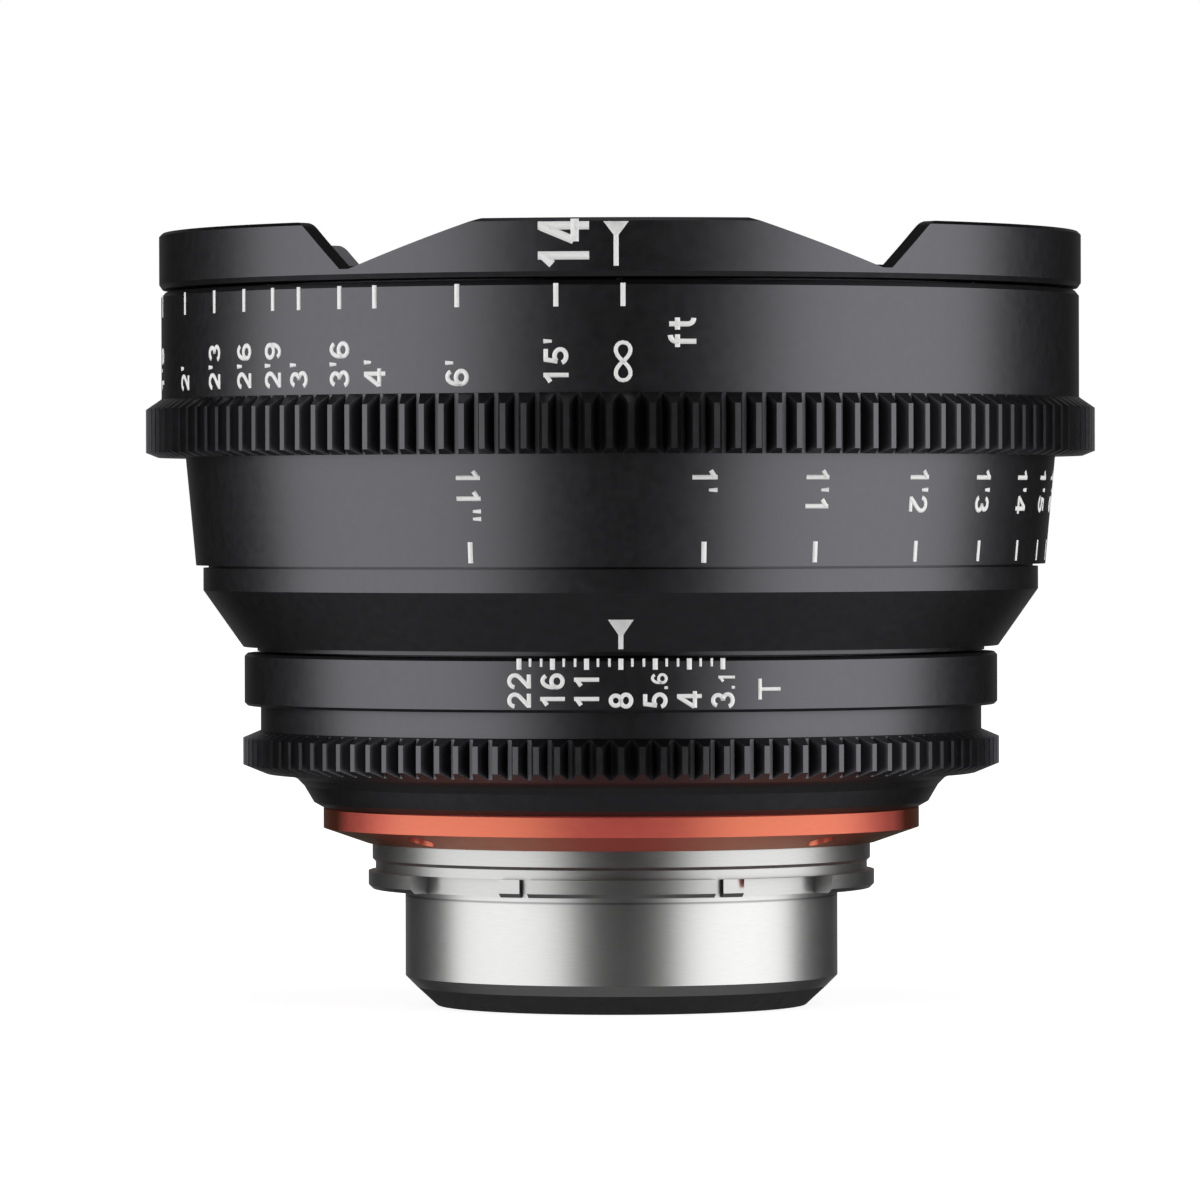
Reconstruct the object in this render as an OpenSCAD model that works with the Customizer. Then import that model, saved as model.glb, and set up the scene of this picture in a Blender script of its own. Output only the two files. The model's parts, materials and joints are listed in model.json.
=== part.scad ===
// Cinema prime lens, ultra-wide, with a steel bayonet mount.
// The origin lies on the optical axis in the mount's flange seat. +Z points to the front.
// The side that carries the reading marks faces -Y. Lengths are millimetres, angles degrees.

/* [Mount] */
// Radius of the locating barrel
mount_barrel_r = 27; // [26.6:0.1:27.6]
// Straight length of the locating barrel behind the flange seat
mount_barrel_len = 10.9; // [9.5:0.1:12]
// Wall of the locating barrel
mount_barrel_wall = 2; // [1.6:0.1:2.4]
// Chamfer at the barrel's rear end
mount_barrel_chamfer = 1.35; // [0.8:0.05:1.55]
// Radius over the wings
wing_r = 31.6; // [31:0.1:33]
// Thickness of the wings
wing_t = 2.2; // [1.8:0.1:2.8]
// Radius between the wings
wing_root_r = 29.1; // [28.4:0.1:30]
// Half angle of the front and back wings
wing_front_half = 28.2; // [24:0.1:32]
// Half angle of the side wings
wing_side_half = 35.2; // [32:0.1:38]
// Chamfer on the wings' rear edge
wing_edge = 0.5; // [0.2:0.05:0.8]
// Angle of the locating notches from the front wing's middle
wing_notch_angle = 22.2; // [18:0.1:23]
// Width of a locating notch
wing_notch_w = 1; // [0.6:0.1:1.6]
// Depth of a locating notch
wing_notch_depth = 0.8; // [0.4:0.1:1.4]
// Radius of the neck between the wings and the flange ring
mount_neck_r = 30.7; // [30.2:0.1:30.9]
// Height of the neck
mount_neck_h = 1.15; // [0.8:0.05:1.6]
// Radius of the flange ring
mount_ring_r = 31.1; // [31:0.1:31.6]
// Height of the flange ring
mount_ring_h = 2.35; // [2:0.05:3]
// Thickness of the web that the mount screws clamp
mount_web_t = 3.3; // [2.6:0.1:4]
// Number of mount screws
mount_screw_n = 4; // [3:1:6]
// Radius of the mount screws' circle
mount_screw_ring_r = 22.85; // [22.7:0.05:22.9]
// Thickness of the back-focus shim
shim_t = 0.2; // [0.1:0.05:0.6]

/* [Rear baffle] */
// Height of the baffle behind the barrel
baffle_h = 2.35; // [1.8:0.05:3]
// Radius of the baffle's rear face
baffle_rear_r = 23.1; // [22:0.1:24]
// Radius of the light port
baffle_port_r = 17; // [16:0.1:18.5]
// Length of the spigot inside the barrel
baffle_spigot_h = 2.8; // [1.5:0.1:3.2]
// Wall of the spigot
baffle_spigot_wall = 2.4; // [1.5:0.1:3]

/* [Rear housing and red ring] */
// Radius of the red ring's band
red_r = 37.2; // [36.4:0.1:38]
// Height of the red ring's band
red_band_h = 2.6; // [2:0.1:3.4]
// Radius of the red ring at the mount
red_rear_r = 31.9; // [31.7:0.1:32.6]
// Height of the red ring's cone
red_cone_h = 1.85; // [1.4:0.05:2.4]
// Number of screws in the red ring
red_screw_n = 4; // [4:4:8]
// Radius of the red ring screws' circle
red_screw_ring_r = 34.4; // [33.6:0.1:35]
// Radius of the rear housing at the red ring
housing_rear_r = 38.4; // [38.2:0.1:39]
// Radius of the rear housing under the iris gear
housing_front_r = 39.6; // [39.2:0.1:40.4]
// Height of the rear housing
housing_h = 3.9; // [3.4:0.1:4.6]
// Chamfer on the rear housing's lower edge
housing_edge = 0.6; // [0.3:0.05:0.9]
// Radius of the lip that keeps the iris ring in place
housing_lip_r = 42; // [41.6:0.1:42.8]
// Height of the lip
housing_lip_h = 0.35; // [0.25:0.05:0.6]
// Radius of the spigot that the mount is screwed to
housing_spigot_r = 30.4; // [29.6:0.1:30.9]
// Height of the register that centres the housing in the barrel
housing_register_h = 1.5; // [1:0.1:2.5]
// Number of housing screws
housing_screw_n = 6; // [4:1:8]
// Radius of the housing screws' circle
housing_screw_ring_r = 35.4; // [35.2:0.1:35.6]

/* [Iris ring] */
// Radius of the aperture scale band
iris_ring_r = 47; // [46.6:0.1:47.6]
// Height of the aperture scale band
iris_band_h = 6.5; // [5.5:0.1:8]
// Radius of the waist
iris_waist_r = 45; // [44.6:0.1:45.6]
// Height of the waist
iris_waist_h = 3.15; // [2.6:0.05:3.8]
// Number of teeth on the iris gear
iris_gear_teeth = 116; // [112:1:120]
// Height of the iris gear
iris_gear_h = 5.35; // [4.8:0.05:6]
// Height of the full teeth on the iris gear
iris_gear_land = 3.3; // [2.8:0.1:3.6]
// Height of the iris gear's rear chamfer
iris_gear_rear_h = 1.15; // [0.8:0.05:1.3]
// Radius where the iris gear's rear chamfer ends
iris_gear_rear_r = 44.4; // [44.2:0.1:44.8]
// Turn of the iris ring from wide open to closed
iris_turn = 30; // [26:0.5:32]

/* [Index ring] */
// Radius of the index ring
index_r = 52.1; // [51.6:0.1:52.8]
// Height of its cylinder
index_band_h = 2.8; // [2.4:0.05:4]
// Height of its cone
index_cone_h = 7.05; // [6.5:0.05:8]
// Radius of the cone's rear edge
index_rear_r = 47.15; // [46.6:0.05:48]
// Width of the groove over the iris ring
index_groove_w = 0.8; // [0.6:0.05:1.2]
// Radius of that groove's floor
index_groove_r = 45.4; // [44:0.1:46]
// Height of the index ring's seat over its rear edge
index_seat_h = 6; // [5.8:0.1:6.6]
// Width of the lip that reaches into the focus ring
index_lip_w = 1.6; // [1.2:0.1:1.8]
// Height of that lip
index_lip_h = 1.2; // [0.8:0.1:1.8]

/* [Focus ring] */
// Radius of the distance scale sleeve
focus_sleeve_r = 57.25; // [56.9:0.05:57.4]
// Height of the distance scale sleeve
focus_sleeve_h = 13.25; // [12:0.05:15]
// Number of teeth on the focus gear
focus_gear_teeth = 146; // [146:1:150]
// Height of the focus gear
focus_gear_h = 7.25; // [6.5:0.05:8.5]
// Height of the full teeth on the focus gear
focus_gear_land = 5.35; // [4.8:0.05:5.8]
// Height of the focus gear's rear chamfer
focus_gear_rear_h = 0.6; // [0.4:0.05:1]
// Radius where the focus gear's rear chamfer ends
focus_gear_rear_r = 57.7; // [57.4:0.05:58.2]
// Radius of the tapered rear scale at the gear
taper_front_r = 54.25; // [54:0.05:55]
// Radius of the tapered rear scale at the index ring
taper_rear_r = 53; // [52.9:0.05:53.8]
// Height of the tapered rear scale
taper_h = 13.4; // [12:0.05:14.5]
// Chamfer on the sleeve's front edge
focus_edge = 0.5; // [0.2:0.05:0.8]
// Turn of the focus ring from infinity to the nearest distance
focus_turn = 200; // [170:1:210]
// Wall of the sleeve outside its relief
focus_relief_wall = 3.65; // [2.85:0.05:5.25]
// Width of the bearing land at each end of the sleeve's relief
focus_land_w = 3; // [2:0.1:4]

/* [Gear teeth] */
// Gear module of both gears
gear_module = 0.8; // [0.78:0.005:0.82]
// Pressure angle
gear_pressure = 20; // [14.5:0.5:25]

/* [Hood] */
// Radius of the hood
hood_r = 57.5; // [57.3:0.05:58]
// Height of the hood
hood_h = 6.95; // [6.2:0.05:8]
// Wall of the petals
hood_wall = 2.6; // [2:0.1:3]
// Thickness of the hood's floor
hood_floor_t = 1.4; // [1.2:0.05:1.8]
// Chamfer on the hood's edges
hood_edge = 0.4; // [0.2:0.05:0.6]
// Gap between the hood and the focus ring
hood_gap = 0.4; // [0.3:0.05:0.6]
// Angle of the valleys between the petals
valley_angle = 34.3; // [33:0.1:36]
// Height of the valley floors over the hood's rear edge
valley_h = 1.2; // [1:0.05:2]
// Width of a valley floor
valley_floor_w = 1.3; // [0.8:0.1:2.5]
// Width of the long slope to the narrow petals
valley_long_w = 17.3; // [15:0.1:18.5]
// Width of the short slope to the broad petals
valley_short_w = 6.3; // [5:0.1:7.5]
// Rounding of the petals' corners
petal_corner_r = 2.8; // [1:0.1:3]
// Turn of the petals round the axis, against the iris index
petal_turn = -0.6; // [-2:0.1:2]
// Number of hood screws
hood_screw_n = 6; // [4:1:8]

/* [Main barrel] */
// Radius of the barrel under the focus ring
barrel_front_r = 49.8; // [49.5:0.05:50]
// Wall of the barrel under the focus ring
barrel_front_wall = 3.2; // [2.8:0.1:3.4]
// Radius of the barrel under the iris ring
barrel_rear_r = 40.8; // [40.4:0.05:41]
// Wall of the barrel under the iris ring
barrel_rear_wall = 5.2; // [4.6:0.1:5.6]
// Width of the step in the barrel's rear end, for the housing's lip
barrel_lip_w = 1.5; // [1:0.1:2]
// Bore radius of the web between the two
barrel_step_r = 39; // [38.6:0.1:39.4]
// Thickness of that web's floor
barrel_web_t = 1; // [0.8:0.05:1.2]
// Height of the screw boss at the barrel's rear end
barrel_boss_h = 5.4; // [5:0.1:6.5]
// Wall of the screw boss
barrel_boss_wall = 7.4; // [7.2:0.1:8]

/* [Focus drive] */
// Forward stroke of the focus group
focus_stroke = 2; // [1.5:0.1:2.4]
// Height of the helicoid ring
helicoid_h = 9.7; // [9:0.1:11]
// Bore radius of the helicoid ring
helicoid_bore_r = 38.2; // [37.8:0.1:38.8]
// Height of the ring that keeps the helicoid ring in place
stop_ring_h = 3; // [2:0.1:4]
// Width of that ring
stop_ring_w = 4.4; // [3.5:0.1:5.5]
// Width of the focus key
key_w = 6; // [5:0.1:7]
// Height of the focus key
key_h = 3.6; // [3:0.1:4]
// Depth of the focus key in each ring
key_depth = 1.6; // [1.2:0.1:1.8]
// Height of the focus key over the helicoid ring's rear face
key_rise = 2.9; // [2.5:0.1:3.5]
// Radius of the guide pins
guide_pin_r = 1.5; // [1.2:0.1:1.8]
// Number of guide pins
guide_pin_n = 3; // [2:1:4]
// Depth of the guide pins in the front cell
guide_pin_seat = 2.4; // [2:0.1:2.7]

/* [Front group] */
// Radius of the front element
l1_r = 36; // [35:0.1:36.6]
// Radius of curvature of the front element's dome
l1_dome_r = 64; // [60:0.5:72]
// Edge thickness of the front element
l1_edge_h = 6.9; // [6.2:0.1:7.4]
// Clear radius of the front element's rear hollow
l1_hollow_r = 24.5; // [22:0.1:25]
// Depth of the front element's rear hollow
l1_hollow_h = 13.5; // [11:0.1:14]
// Radius of the second element
l2_r = 26.5; // [26:0.1:27]
// Edge thickness of the second element
l2_edge_h = 4.5; // [4:0.1:5]
// Radius of the third element
l3_r = 20; // [19.6:0.1:21]
// Edge thickness of the third element
l3_edge_h = 5; // [4.6:0.1:5.2]
// Height of the ring under the third element
front_group_ring_h = 1.3; // [1:0.1:1.6]
// Outer radius of the front cell's rear tube
cell_tube_r = 28.5; // [28.2:0.1:29.2]
// Thickness of the front cell's floor under the front element
cell_floor_t = 3; // [2.8:0.1:3.4]
// Thickness of the front cell's flange
cell_flange_t = 1.5; // [1.2:0.1:1.8]
// Height of the front retaining ring
front_ring_h = 3; // [2.4:0.1:3.4]
// Width of the front retaining ring outside the front element
front_ring_w = 3; // [2.4:0.1:3.4]
// Number of light-trap steps on the front trim ring
trim_steps = 6; // [3:1:9]
// Thickness of the front trim ring
trim_t = 0.9; // [0.7:0.05:1.2]

/* [Focus group] */
// Radius of the focus carrier's rim in the helicoid ring
carrier_rim_r = 37.9; // [37.5:0.05:38]
// Wall of the focus carrier's rim
carrier_rim_wall = 3.9; // [3.4:0.1:4.4]
// Radius of the focus carrier's tube
carrier_tube_r = 21.5; // [21.2:0.1:22]
// Radius of the fourth element
l4_r = 17.5; // [17:0.1:18]
// Edge thickness of the fourth element
l4_edge_h = 3.3; // [3:0.1:3.8]
// Height of the ring over the fourth element
carrier_ring_h = 1; // [0.8:0.1:1.4]
// Radius of the fifth to seventh elements
mid_r = 14; // [13.6:0.1:14.6]
// Edge thickness of the fifth element
l5_edge_h = 2; // [1.9:0.1:2.6]
// Edge thickness of the sixth element
l6_edge_h = 2.6; // [2.5:0.1:3]
// Height of the spacer behind the sixth element
carrier_spacer_h = 1.2; // [1:0.1:1.6]
// Edge thickness of the seventh element
l7_edge_h = 2.1; // [2:0.1:2.8]
// Thickness of the carrier's shelf over the iris
carrier_shelf_t = 1.2; // [1:0.1:1.6]

/* [Iris] */
// Number of blades
blade_n = 11; // [9:1:11]
// Thickness of a blade
blade_t = 0.12; // [0.08:0.01:0.14]
// Height from one blade to the next
blade_pitch = 0.24; // [0.22:0.01:0.26]
// Inner radius of a blade's band
blade_inner_r = 8.2; // [7.8:0.1:8.6]
// Outer radius of a blade's band
blade_outer_r = 12; // [11.4:0.1:12.1]
// Arc of a blade's band
blade_span = 125; // [118:1:132]
// Radius of the circle of pivot pins
pivot_ring_r = 13.5; // [13.3:0.1:13.7]
// Radius of the pivot and drive pins
blade_pin_r = 0.45; // [0.35:0.05:0.5]
// Distance from pivot pin to drive pin
blade_lever = 3; // [2.8:0.1:3.2]
// Radius of a blade's ear round its pins
blade_ear_r = 0.95; // [0.85:0.05:1]
// Thickness of the pivot plate
iris_base_t = 1.4; // [1.2:0.1:1.8]
// Radius of the pivot plate's opening
iris_base_bore_r = 8.5; // [8.2:0.1:9]
// Thickness of the cam ring's disc
cam_t = 1.4; // [1.2:0.1:1.8]
// Bore radius of the cam ring
cam_bore_r = 11.6; // [11:0.1:11.8]
// Outer radius of the cam ring
cam_r = 17.8; // [17.6:0.1:18]
// Wall of the cam ring's skirt
cam_skirt_wall = 1.3; // [1.1:0.1:1.4]
// Width of the iris drive arm
arm_w = 3; // [2.4:0.1:3.6]
// Height of the iris drive arm
arm_h = 1.4; // [1.2:0.1:1.6]
// Height of the drive arm over the iris ring's waist
arm_rise = 2; // [1.8:0.1:2.4]
// Depth of the drive arm in the iris ring
arm_depth = 2.4; // [1.8:0.1:2.8]

/* [Rear group] */
// Radius of the rear cell
rear_cell_r = 20; // [19.6:0.1:20.1]
// Thickness of the rear cell's flange
rear_flange_t = 4.8; // [4:0.1:5.2]
// Thickness of the rear cell's shelf
rear_shelf_t = 1.8; // [1.4:0.1:2.2]
// Radius of the eighth to tenth elements
inner_r = 13; // [12.6:0.1:13.6]
// Edge thickness of the eighth element
l8_edge_h = 2.4; // [2.2:0.1:2.8]
// Edge thickness of the ninth element
l9_edge_h = 2.4; // [2.2:0.1:2.8]
// Height of the spacer behind the ninth element
inner_spacer_h = 1.6; // [1.4:0.1:2]
// Edge thickness of the tenth element
l10_edge_h = 5.6; // [5:0.1:6]
// Radius of the last four elements
outer_r = 15.6; // [15.2:0.1:16]
// Edge thickness of the eleventh element
l11_edge_h = 3; // [2.8:0.1:3.4]
// Edge thickness of the twelfth element
l12_edge_h = 2.5; // [2.4:0.1:3]
// Height of the spacer behind the twelfth element
outer_spacer_h = 1.2; // [1:0.1:1.5]
// Edge thickness of the thirteenth element
l13_edge_h = 3.3; // [3:0.1:3.8]
// Edge thickness of the rear element
l14_edge_h = 3; // [2.6:0.1:3.4]
// Height of the rear retaining ring
rear_ring_h = 2.2; // [1.8:0.1:2.4]
// Number of rear cell screws
rear_screw_n = 3; // [3:1:6]

/* [Fasteners and clearances] */
// Shank radius of the small screws
screw_r = 0.9; // [0.8:0.05:1]
// Head radius of the small screws
screw_head_r = 1.6; // [1.45:0.05:1.7]
// Head height of the small screws
screw_head_h = 1; // [0.8:0.05:1.1]
// Length of the small screws' thread past the clamped piece
screw_bite = 4; // [3:0.1:4.6]
// Axial gap at each end of a turning ring
ring_gap = 0.3; // [0.2:0.05:0.4]
// Radial gap between pieces that turn or slide past each other
run_gap = 0.3; // [0.25:0.01:0.35]
// Radial gap of pieces that are set into each other
fit_gap = 0.05; // [0.02:0.01:0.08]
// Seat width of an element's retaining ring
seat_w = 1.5; // [1.3:0.1:1.7]

/* [Hidden] */
$fn = 96;
optic_fn = 720;
front_azimuth = -90;
over = 0.5;

// Small gaps and steps of the inner pieces
cell_clear = 0.5;
cam_over_arm = 0.5;
blade_clear_top = 0.4;
blade_clear_under = 0.25;
arm_tip_gap = 0.2;
front_clear = 2;
group_clear = 0.4;
front_ring_gap = 0.1;
hood_bore_step = 0.6;
hood_floor_drop = 0.65;
rear_ring_recess = 0.3;
cell_web_t = 1;
carrier_rim_over = 2;
pin_seat_floor = 0.3;
root_overlap = 0.05;
red_head_depth = 0.6;
screw_tip_clear = 0.4;

// Sags of the elements' faces, front then rear. A positive sag swells outwards.
l2_sag = [6, -7.5];
l3_sag = [-1.5, -1.8];
l4_sag = [1.2, -1.5];
l5_sag = [1.2, 1.3];
l6_sag = [-l5_sag[1], -0.7];
l7_sag = [1.4, 0.6];
l9_sag = [1.2, 1];
l8_sag = [-0.5, -l9_sag[0]];
l10_sag = [0.5, -1.2];
l12_sag = [1.2, 0.5];
l11_sag = [-0.8, -l12_sag[0]];
l14_sag = [1, 1.3];
l13_sag = [0.5, -l14_sag[0]];

// Clear radii of the faces that have a broader rim than a seat
l3_face_r = l3_r - 2 * seat_w;
cell_lip_r = l3_r - 1;
l4_face_r = l4_r - seat_w * 1.3;
mid_front_r = mid_r - 1.8;
mid_rear_r = mid_r - 2.5;
inner_front_r = inner_r - 2.5;
inner_lip_r = inner_r - 2;
rear_face_r = outer_r - seat_w * 1.2;

// Heights of the outer pieces, rear to front
z_wing = wing_t;
z_neck = z_wing + mount_neck_h;
z_mount = z_neck + mount_ring_h;
z_shim = z_mount + shim_t;
z_red = z_mount + fit_gap;
z_red_band = z_red + red_cone_h;
z_housing = z_red_band + red_band_h;
z_housing_top = z_housing + housing_h;
z_iris = z_housing_top + ring_gap;
z_housing_lip = z_iris + housing_lip_h;
z_iris_gear_top = z_iris + iris_gear_h;
z_iris_waist_top = z_iris_gear_top + iris_waist_h;
z_iris_top = z_iris_waist_top + iris_band_h;
z_index = z_iris_top + index_groove_w;
z_index_cone_top = z_index + index_cone_h;
z_index_top = z_index_cone_top + index_band_h;
z_focus = z_index_top + ring_gap;
z_focus_gear = z_focus + taper_h;
z_focus_gear_top = z_focus_gear + focus_gear_h;
z_focus_top = z_focus_gear_top + focus_sleeve_h;
z_hood = z_focus_top + hood_gap;
z_hood_top = z_hood + hood_h;
z_barrel_end = -mount_barrel_len - mount_barrel_chamfer;
z_baffle = z_barrel_end - baffle_h;
barrel_end_r = mount_barrel_r - mount_barrel_chamfer;
barrel_bore_r = mount_barrel_r - mount_barrel_wall;
mount_bore_r = rear_cell_r + cell_clear;

// The rings round the barrel's front part and the drive inside it are drawn for a barrel radius
// of 49.8 and widen with the barrel. The relief in the focus ring stays inside the sleeve and the teeth.
widening = barrel_front_r - 49.8;
sleeve_r = focus_sleeve_r + widening;
taper_top_r = taper_front_r + widening;
taper_foot_r = taper_rear_r + widening;
focus_teeth = focus_gear_teeth + round(2 * widening / gear_module);
focus_teeth_rear_r = focus_gear_rear_r + widening;
relief_r = min(sleeve_r, gear_root_r(focus_teeth)) - focus_relief_wall;
index_band_r = index_r + widening;
index_lip_r = barrel_front_r + fit_gap + index_lip_w;
z_index_lip = z_index_top + index_lip_h;
hood_outer_r = hood_r + widening;
web_bore_r = barrel_step_r + widening;
drive_bore_r = helicoid_bore_r + widening;
rim_r = carrier_rim_r + widening;

// Main barrel
z_web = z_index + index_seat_h;
z_web_floor = z_web + barrel_web_t;
z_hood_seat = z_hood - hood_floor_drop;
z_barrel_top = z_hood_seat - cell_flange_t;
barrel_front_bore_r = barrel_front_r - barrel_front_wall;
barrel_rear_bore_r = barrel_rear_r - barrel_rear_wall;
barrel_boss_r = barrel_rear_r - barrel_boss_wall;
barrel_lip_r = barrel_rear_r - barrel_lip_w;
focus_bore_r = barrel_front_r + run_gap;
iris_bore_r = barrel_rear_r + run_gap;
hood_screw_ring_r = barrel_front_r - barrel_front_wall / 2;

// Iris, worked out from the height of its drive arm
z_arm = z_iris_waist_top + arm_rise;
z_cam = z_arm + cam_over_arm;
z_cam_top = z_cam + cam_t;
z_carrier_shelf = z_cam_top + ring_gap;
blade_stack_h = (blade_n - 1) * blade_pitch + blade_t;
z_blade = z_cam - blade_clear_top - blade_stack_h;
z_iris_base_top = z_blade - blade_clear_under;
z_iris_base = z_iris_base_top - iris_base_t;
carrier_bore_r = cam_r + run_gap;
cam_skirt_r = cam_r - cam_skirt_wall;
blade_rest = iris_turn / 2;
blade_step = 360 / blade_n;
arm_azimuth = 90;
arm_r = cam_skirt_r + arm_tip_gap;

// Focus group, from the iris towards the front
z_l7 = z_carrier_shelf + carrier_shelf_t;
z_carrier_spacer = z_l7 + l7_edge_h;
z_l6 = z_carrier_spacer + carrier_spacer_h;
z_l5 = z_l6 + l6_edge_h;
z_l4 = z_l5 + l5_edge_h;
z_carrier_ring = z_l4 + l4_edge_h;
z_carrier_floor = z_carrier_ring + carrier_ring_h;
z_carrier = z_web_floor + ring_gap;

// Focus drive
z_helicoid = z_index_top;
z_helicoid_top = z_helicoid + helicoid_h;
helicoid_r = barrel_front_bore_r - run_gap;
z_stop_ring = z_helicoid_top + ring_gap;
z_key = z_helicoid + key_rise;
key_azimuth = 60;
key_inner_r = helicoid_r - key_depth;
key_outer_r = focus_bore_r + key_depth;
z_carrier_rim = z_helicoid_top + carrier_rim_over;
guide_ring_r = (l3_r + cell_tube_r) / 2;

// Front group, from the focus group towards the front
z_cell_under = z_carrier_rim + focus_stroke + front_clear;
z_cell = z_carrier_floor + focus_stroke + group_clear;
z_l3 = z_cell + front_group_ring_h;
z_l3_top = z_l3 + l3_edge_h;
z_l2 = z_l3_top + cell_web_t;
z_l2_top = z_l2 + l2_edge_h;
z_l1 = z_cell_under + cell_floor_t;
z_l1_edge = z_l1 + l1_edge_h;
l1_dome_h = l1_dome_r - sqrt(l1_dome_r * l1_dome_r - l1_r * l1_r);
front_ring_r = l1_r + front_ring_w;
z_front_ring = z_l1_edge + front_ring_gap;
z_front_ring_top = z_front_ring + front_ring_h;
z_hood_floor = z_hood_seat + hood_floor_t;
hood_inner_r = hood_outer_r - hood_wall;
hood_bore_r = barrel_front_bore_r - hood_bore_step;

// Rear group, from the iris towards the rear
z_l8_top = z_iris_base - rear_shelf_t;
z_l8 = z_l8_top - l8_edge_h;
z_l9 = z_l8 - l9_edge_h;
z_inner_spacer = z_l9 - inner_spacer_h;
z_l10 = z_inner_spacer - l10_edge_h;
z_l11 = z_l10 - l11_edge_h;
z_l12 = z_l11 - l12_edge_h;
z_outer_spacer = z_l12 - outer_spacer_h;
z_l13 = z_outer_spacer - l13_edge_h;
z_l14 = z_l13 - l14_edge_h;
z_rear_ring = z_l14 - rear_ring_h;
z_rear_cell = z_rear_ring - rear_ring_recess;
rear_screw_ring_r = (carrier_bore_r + carrier_tube_r) / 2;
rear_screw_r = 0.7;
rear_head_r = 1.3;
rear_clamp_t = 2;

blade_names = [for (i = [1 : blade_n]) str("iris_blade_", i)];

black = [0.11, 0.11, 0.115];
flat_black = [0.05, 0.05, 0.05];
anodised_red = [0.72, 0.16, 0.13];
steel = [0.76, 0.76, 0.77];
brass = [0.72, 0.58, 0.3];
coated_glass = [0.55, 0.7, 0.72, 0.45];

// Places its children n times round the axis
module round_axis(n, first = front_azimuth) {
    for (i = [0 : n - 1])
        rotate([0, 0, first + i * 360 / n]) children();
}

// Plain ring between two radii and two heights
module ring(r_in, r_out, z0, z1) {
    translate([0, 0, z0])
        rotate_extrude() translate([r_in, 0]) square([r_out - r_in, z1 - z0]);
}

// Part of a ring, from one azimuth over an angle
module ring_sector(r_in, r_out, z0, z1, first, angle) {
    rotate([0, 0, first]) translate([0, 0, z0])
        rotate_extrude(angle = angle) translate([r_in, 0]) square([r_out - r_in, z1 - z0]);
}

// Upright round hole or pin at a radius
module post(at_r, r, z0, z1) {
    translate([at_r, 0, z0]) cylinder(r = r, h = z1 - z0);
}

// Screw along +Z with its head's seat at z = 0 and a hexagon socket in the head
module screw(shank_r, head_r, head_h, length) {
    socket_r = head_r * 0.55;
    socket_h = head_h * 0.6;
    difference() {
        union() {
            cylinder(r = shank_r, h = length);
            translate([0, 0, -head_h]) cylinder(r = head_r, h = head_h);
        }
        translate([0, 0, -head_h - over])
            cylinder(r = socket_r, h = over + socket_h, $fn = 6);
    }
}

// Arc of points that rounds the corner p between a and b
function corner_arc(a, p, b, r, steps = 6) =
    let (u = (a - p) / norm(a - p), v = (b - p) / norm(b - p),
         half = acos(u * v) / 2,
         c = p + (u + v) / norm(u + v) * r / sin(half),
         s = p + u * r / tan(half) - c,
         e = p + v * r / tan(half) - c,
         first = atan2(s[1], s[0]),
         turn = atan2(e[1], e[0]) - first,
         sweep = turn > 180 ? turn - 360 : turn < -180 ? turn + 360 : turn)
    [for (i = [0 : steps]) c + r * [cos(first + sweep * i / steps), sin(first + sweep * i / steps)]];

// Point at a radius and an azimuth
function polar(r, angle) = [r * cos(angle), r * sin(angle)];

// Half angle of a straight-sided tooth at a radius
function tooth_half(teeth, r) =
    (PI * gear_module / 4 - (r - teeth * gear_module / 2) * tan(gear_pressure)) / r * 180 / PI;

function gear_tip_r(teeth) = (teeth + 2) * gear_module / 2;
function gear_root_r(teeth) = (teeth - 2.5) * gear_module / 2;

// Outline of the teeth, cut back to the true tip radius by the blank
module gear_outline(teeth, first) {
    past_r = gear_tip_r(teeth) + over / 2;
    root_r = gear_root_r(teeth);
    step = 360 / teeth;
    polygon([for (i = [0 : teeth - 1]) each [
        polar(root_r, first + i * step - tooth_half(teeth, root_r)),
        polar(past_r, first + i * step - tooth_half(teeth, past_r)),
        polar(past_r, first + i * step + tooth_half(teeth, past_r)),
        polar(root_r, first + i * step + tooth_half(teeth, root_r))]]);
}

// Toothed band whose teeth run out in a chamfer at each end
module gear_band(teeth, first, r_in, rear_r, rear_h, front_r, z0, h, land) {
    tip_r = gear_tip_r(teeth);
    difference() {
        intersection() {
            translate([0, 0, z0]) linear_extrude(h) gear_outline(teeth, first);
            rotate_extrude() polygon([[0, z0], [rear_r, z0], [tip_r, z0 + rear_h],
                [tip_r, z0 + rear_h + land], [front_r, z0 + h], [0, z0 + h]]);
        }
        translate([0, 0, z0 - over]) cylinder(r = r_in, h = h + 2 * over);
    }
}

// Radius of a sphere from its cap's rim radius and height
function cap_r(rim_r, h) = (rim_r * rim_r + h * h) / (2 * h);

// Round element with flat rims. A positive sag swells outwards, a negative one is hollow.
module element(z0, z1, r, front_r, front_sag, rear_r, rear_sag) {
    rotate_extrude() difference() {
        union() {
            translate([0, z0]) square([r, z1 - z0]);
            if (front_sag > 0) intersection() {
                translate([0, z1 + front_sag - cap_r(front_r, front_sag)])
                    circle(r = cap_r(front_r, front_sag), $fn = optic_fn);
                translate([0, z1 - over]) square([front_r, front_sag + 2 * over]);
            }
            if (rear_sag > 0) intersection() {
                translate([0, z0 - rear_sag + cap_r(rear_r, rear_sag)])
                    circle(r = cap_r(rear_r, rear_sag), $fn = optic_fn);
                translate([0, z0 - rear_sag - over]) square([rear_r, rear_sag + 2 * over]);
            }
        }
        if (front_sag < 0)
            translate([0, z1 + front_sag + cap_r(front_r, -front_sag)])
                circle(r = cap_r(front_r, -front_sag), $fn = optic_fn);
        if (rear_sag < 0)
            translate([0, z0 - rear_sag - cap_r(rear_r, -rear_sag)])
                circle(r = cap_r(rear_r, -rear_sag), $fn = optic_fn);
    }
}

// Hood

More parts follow.
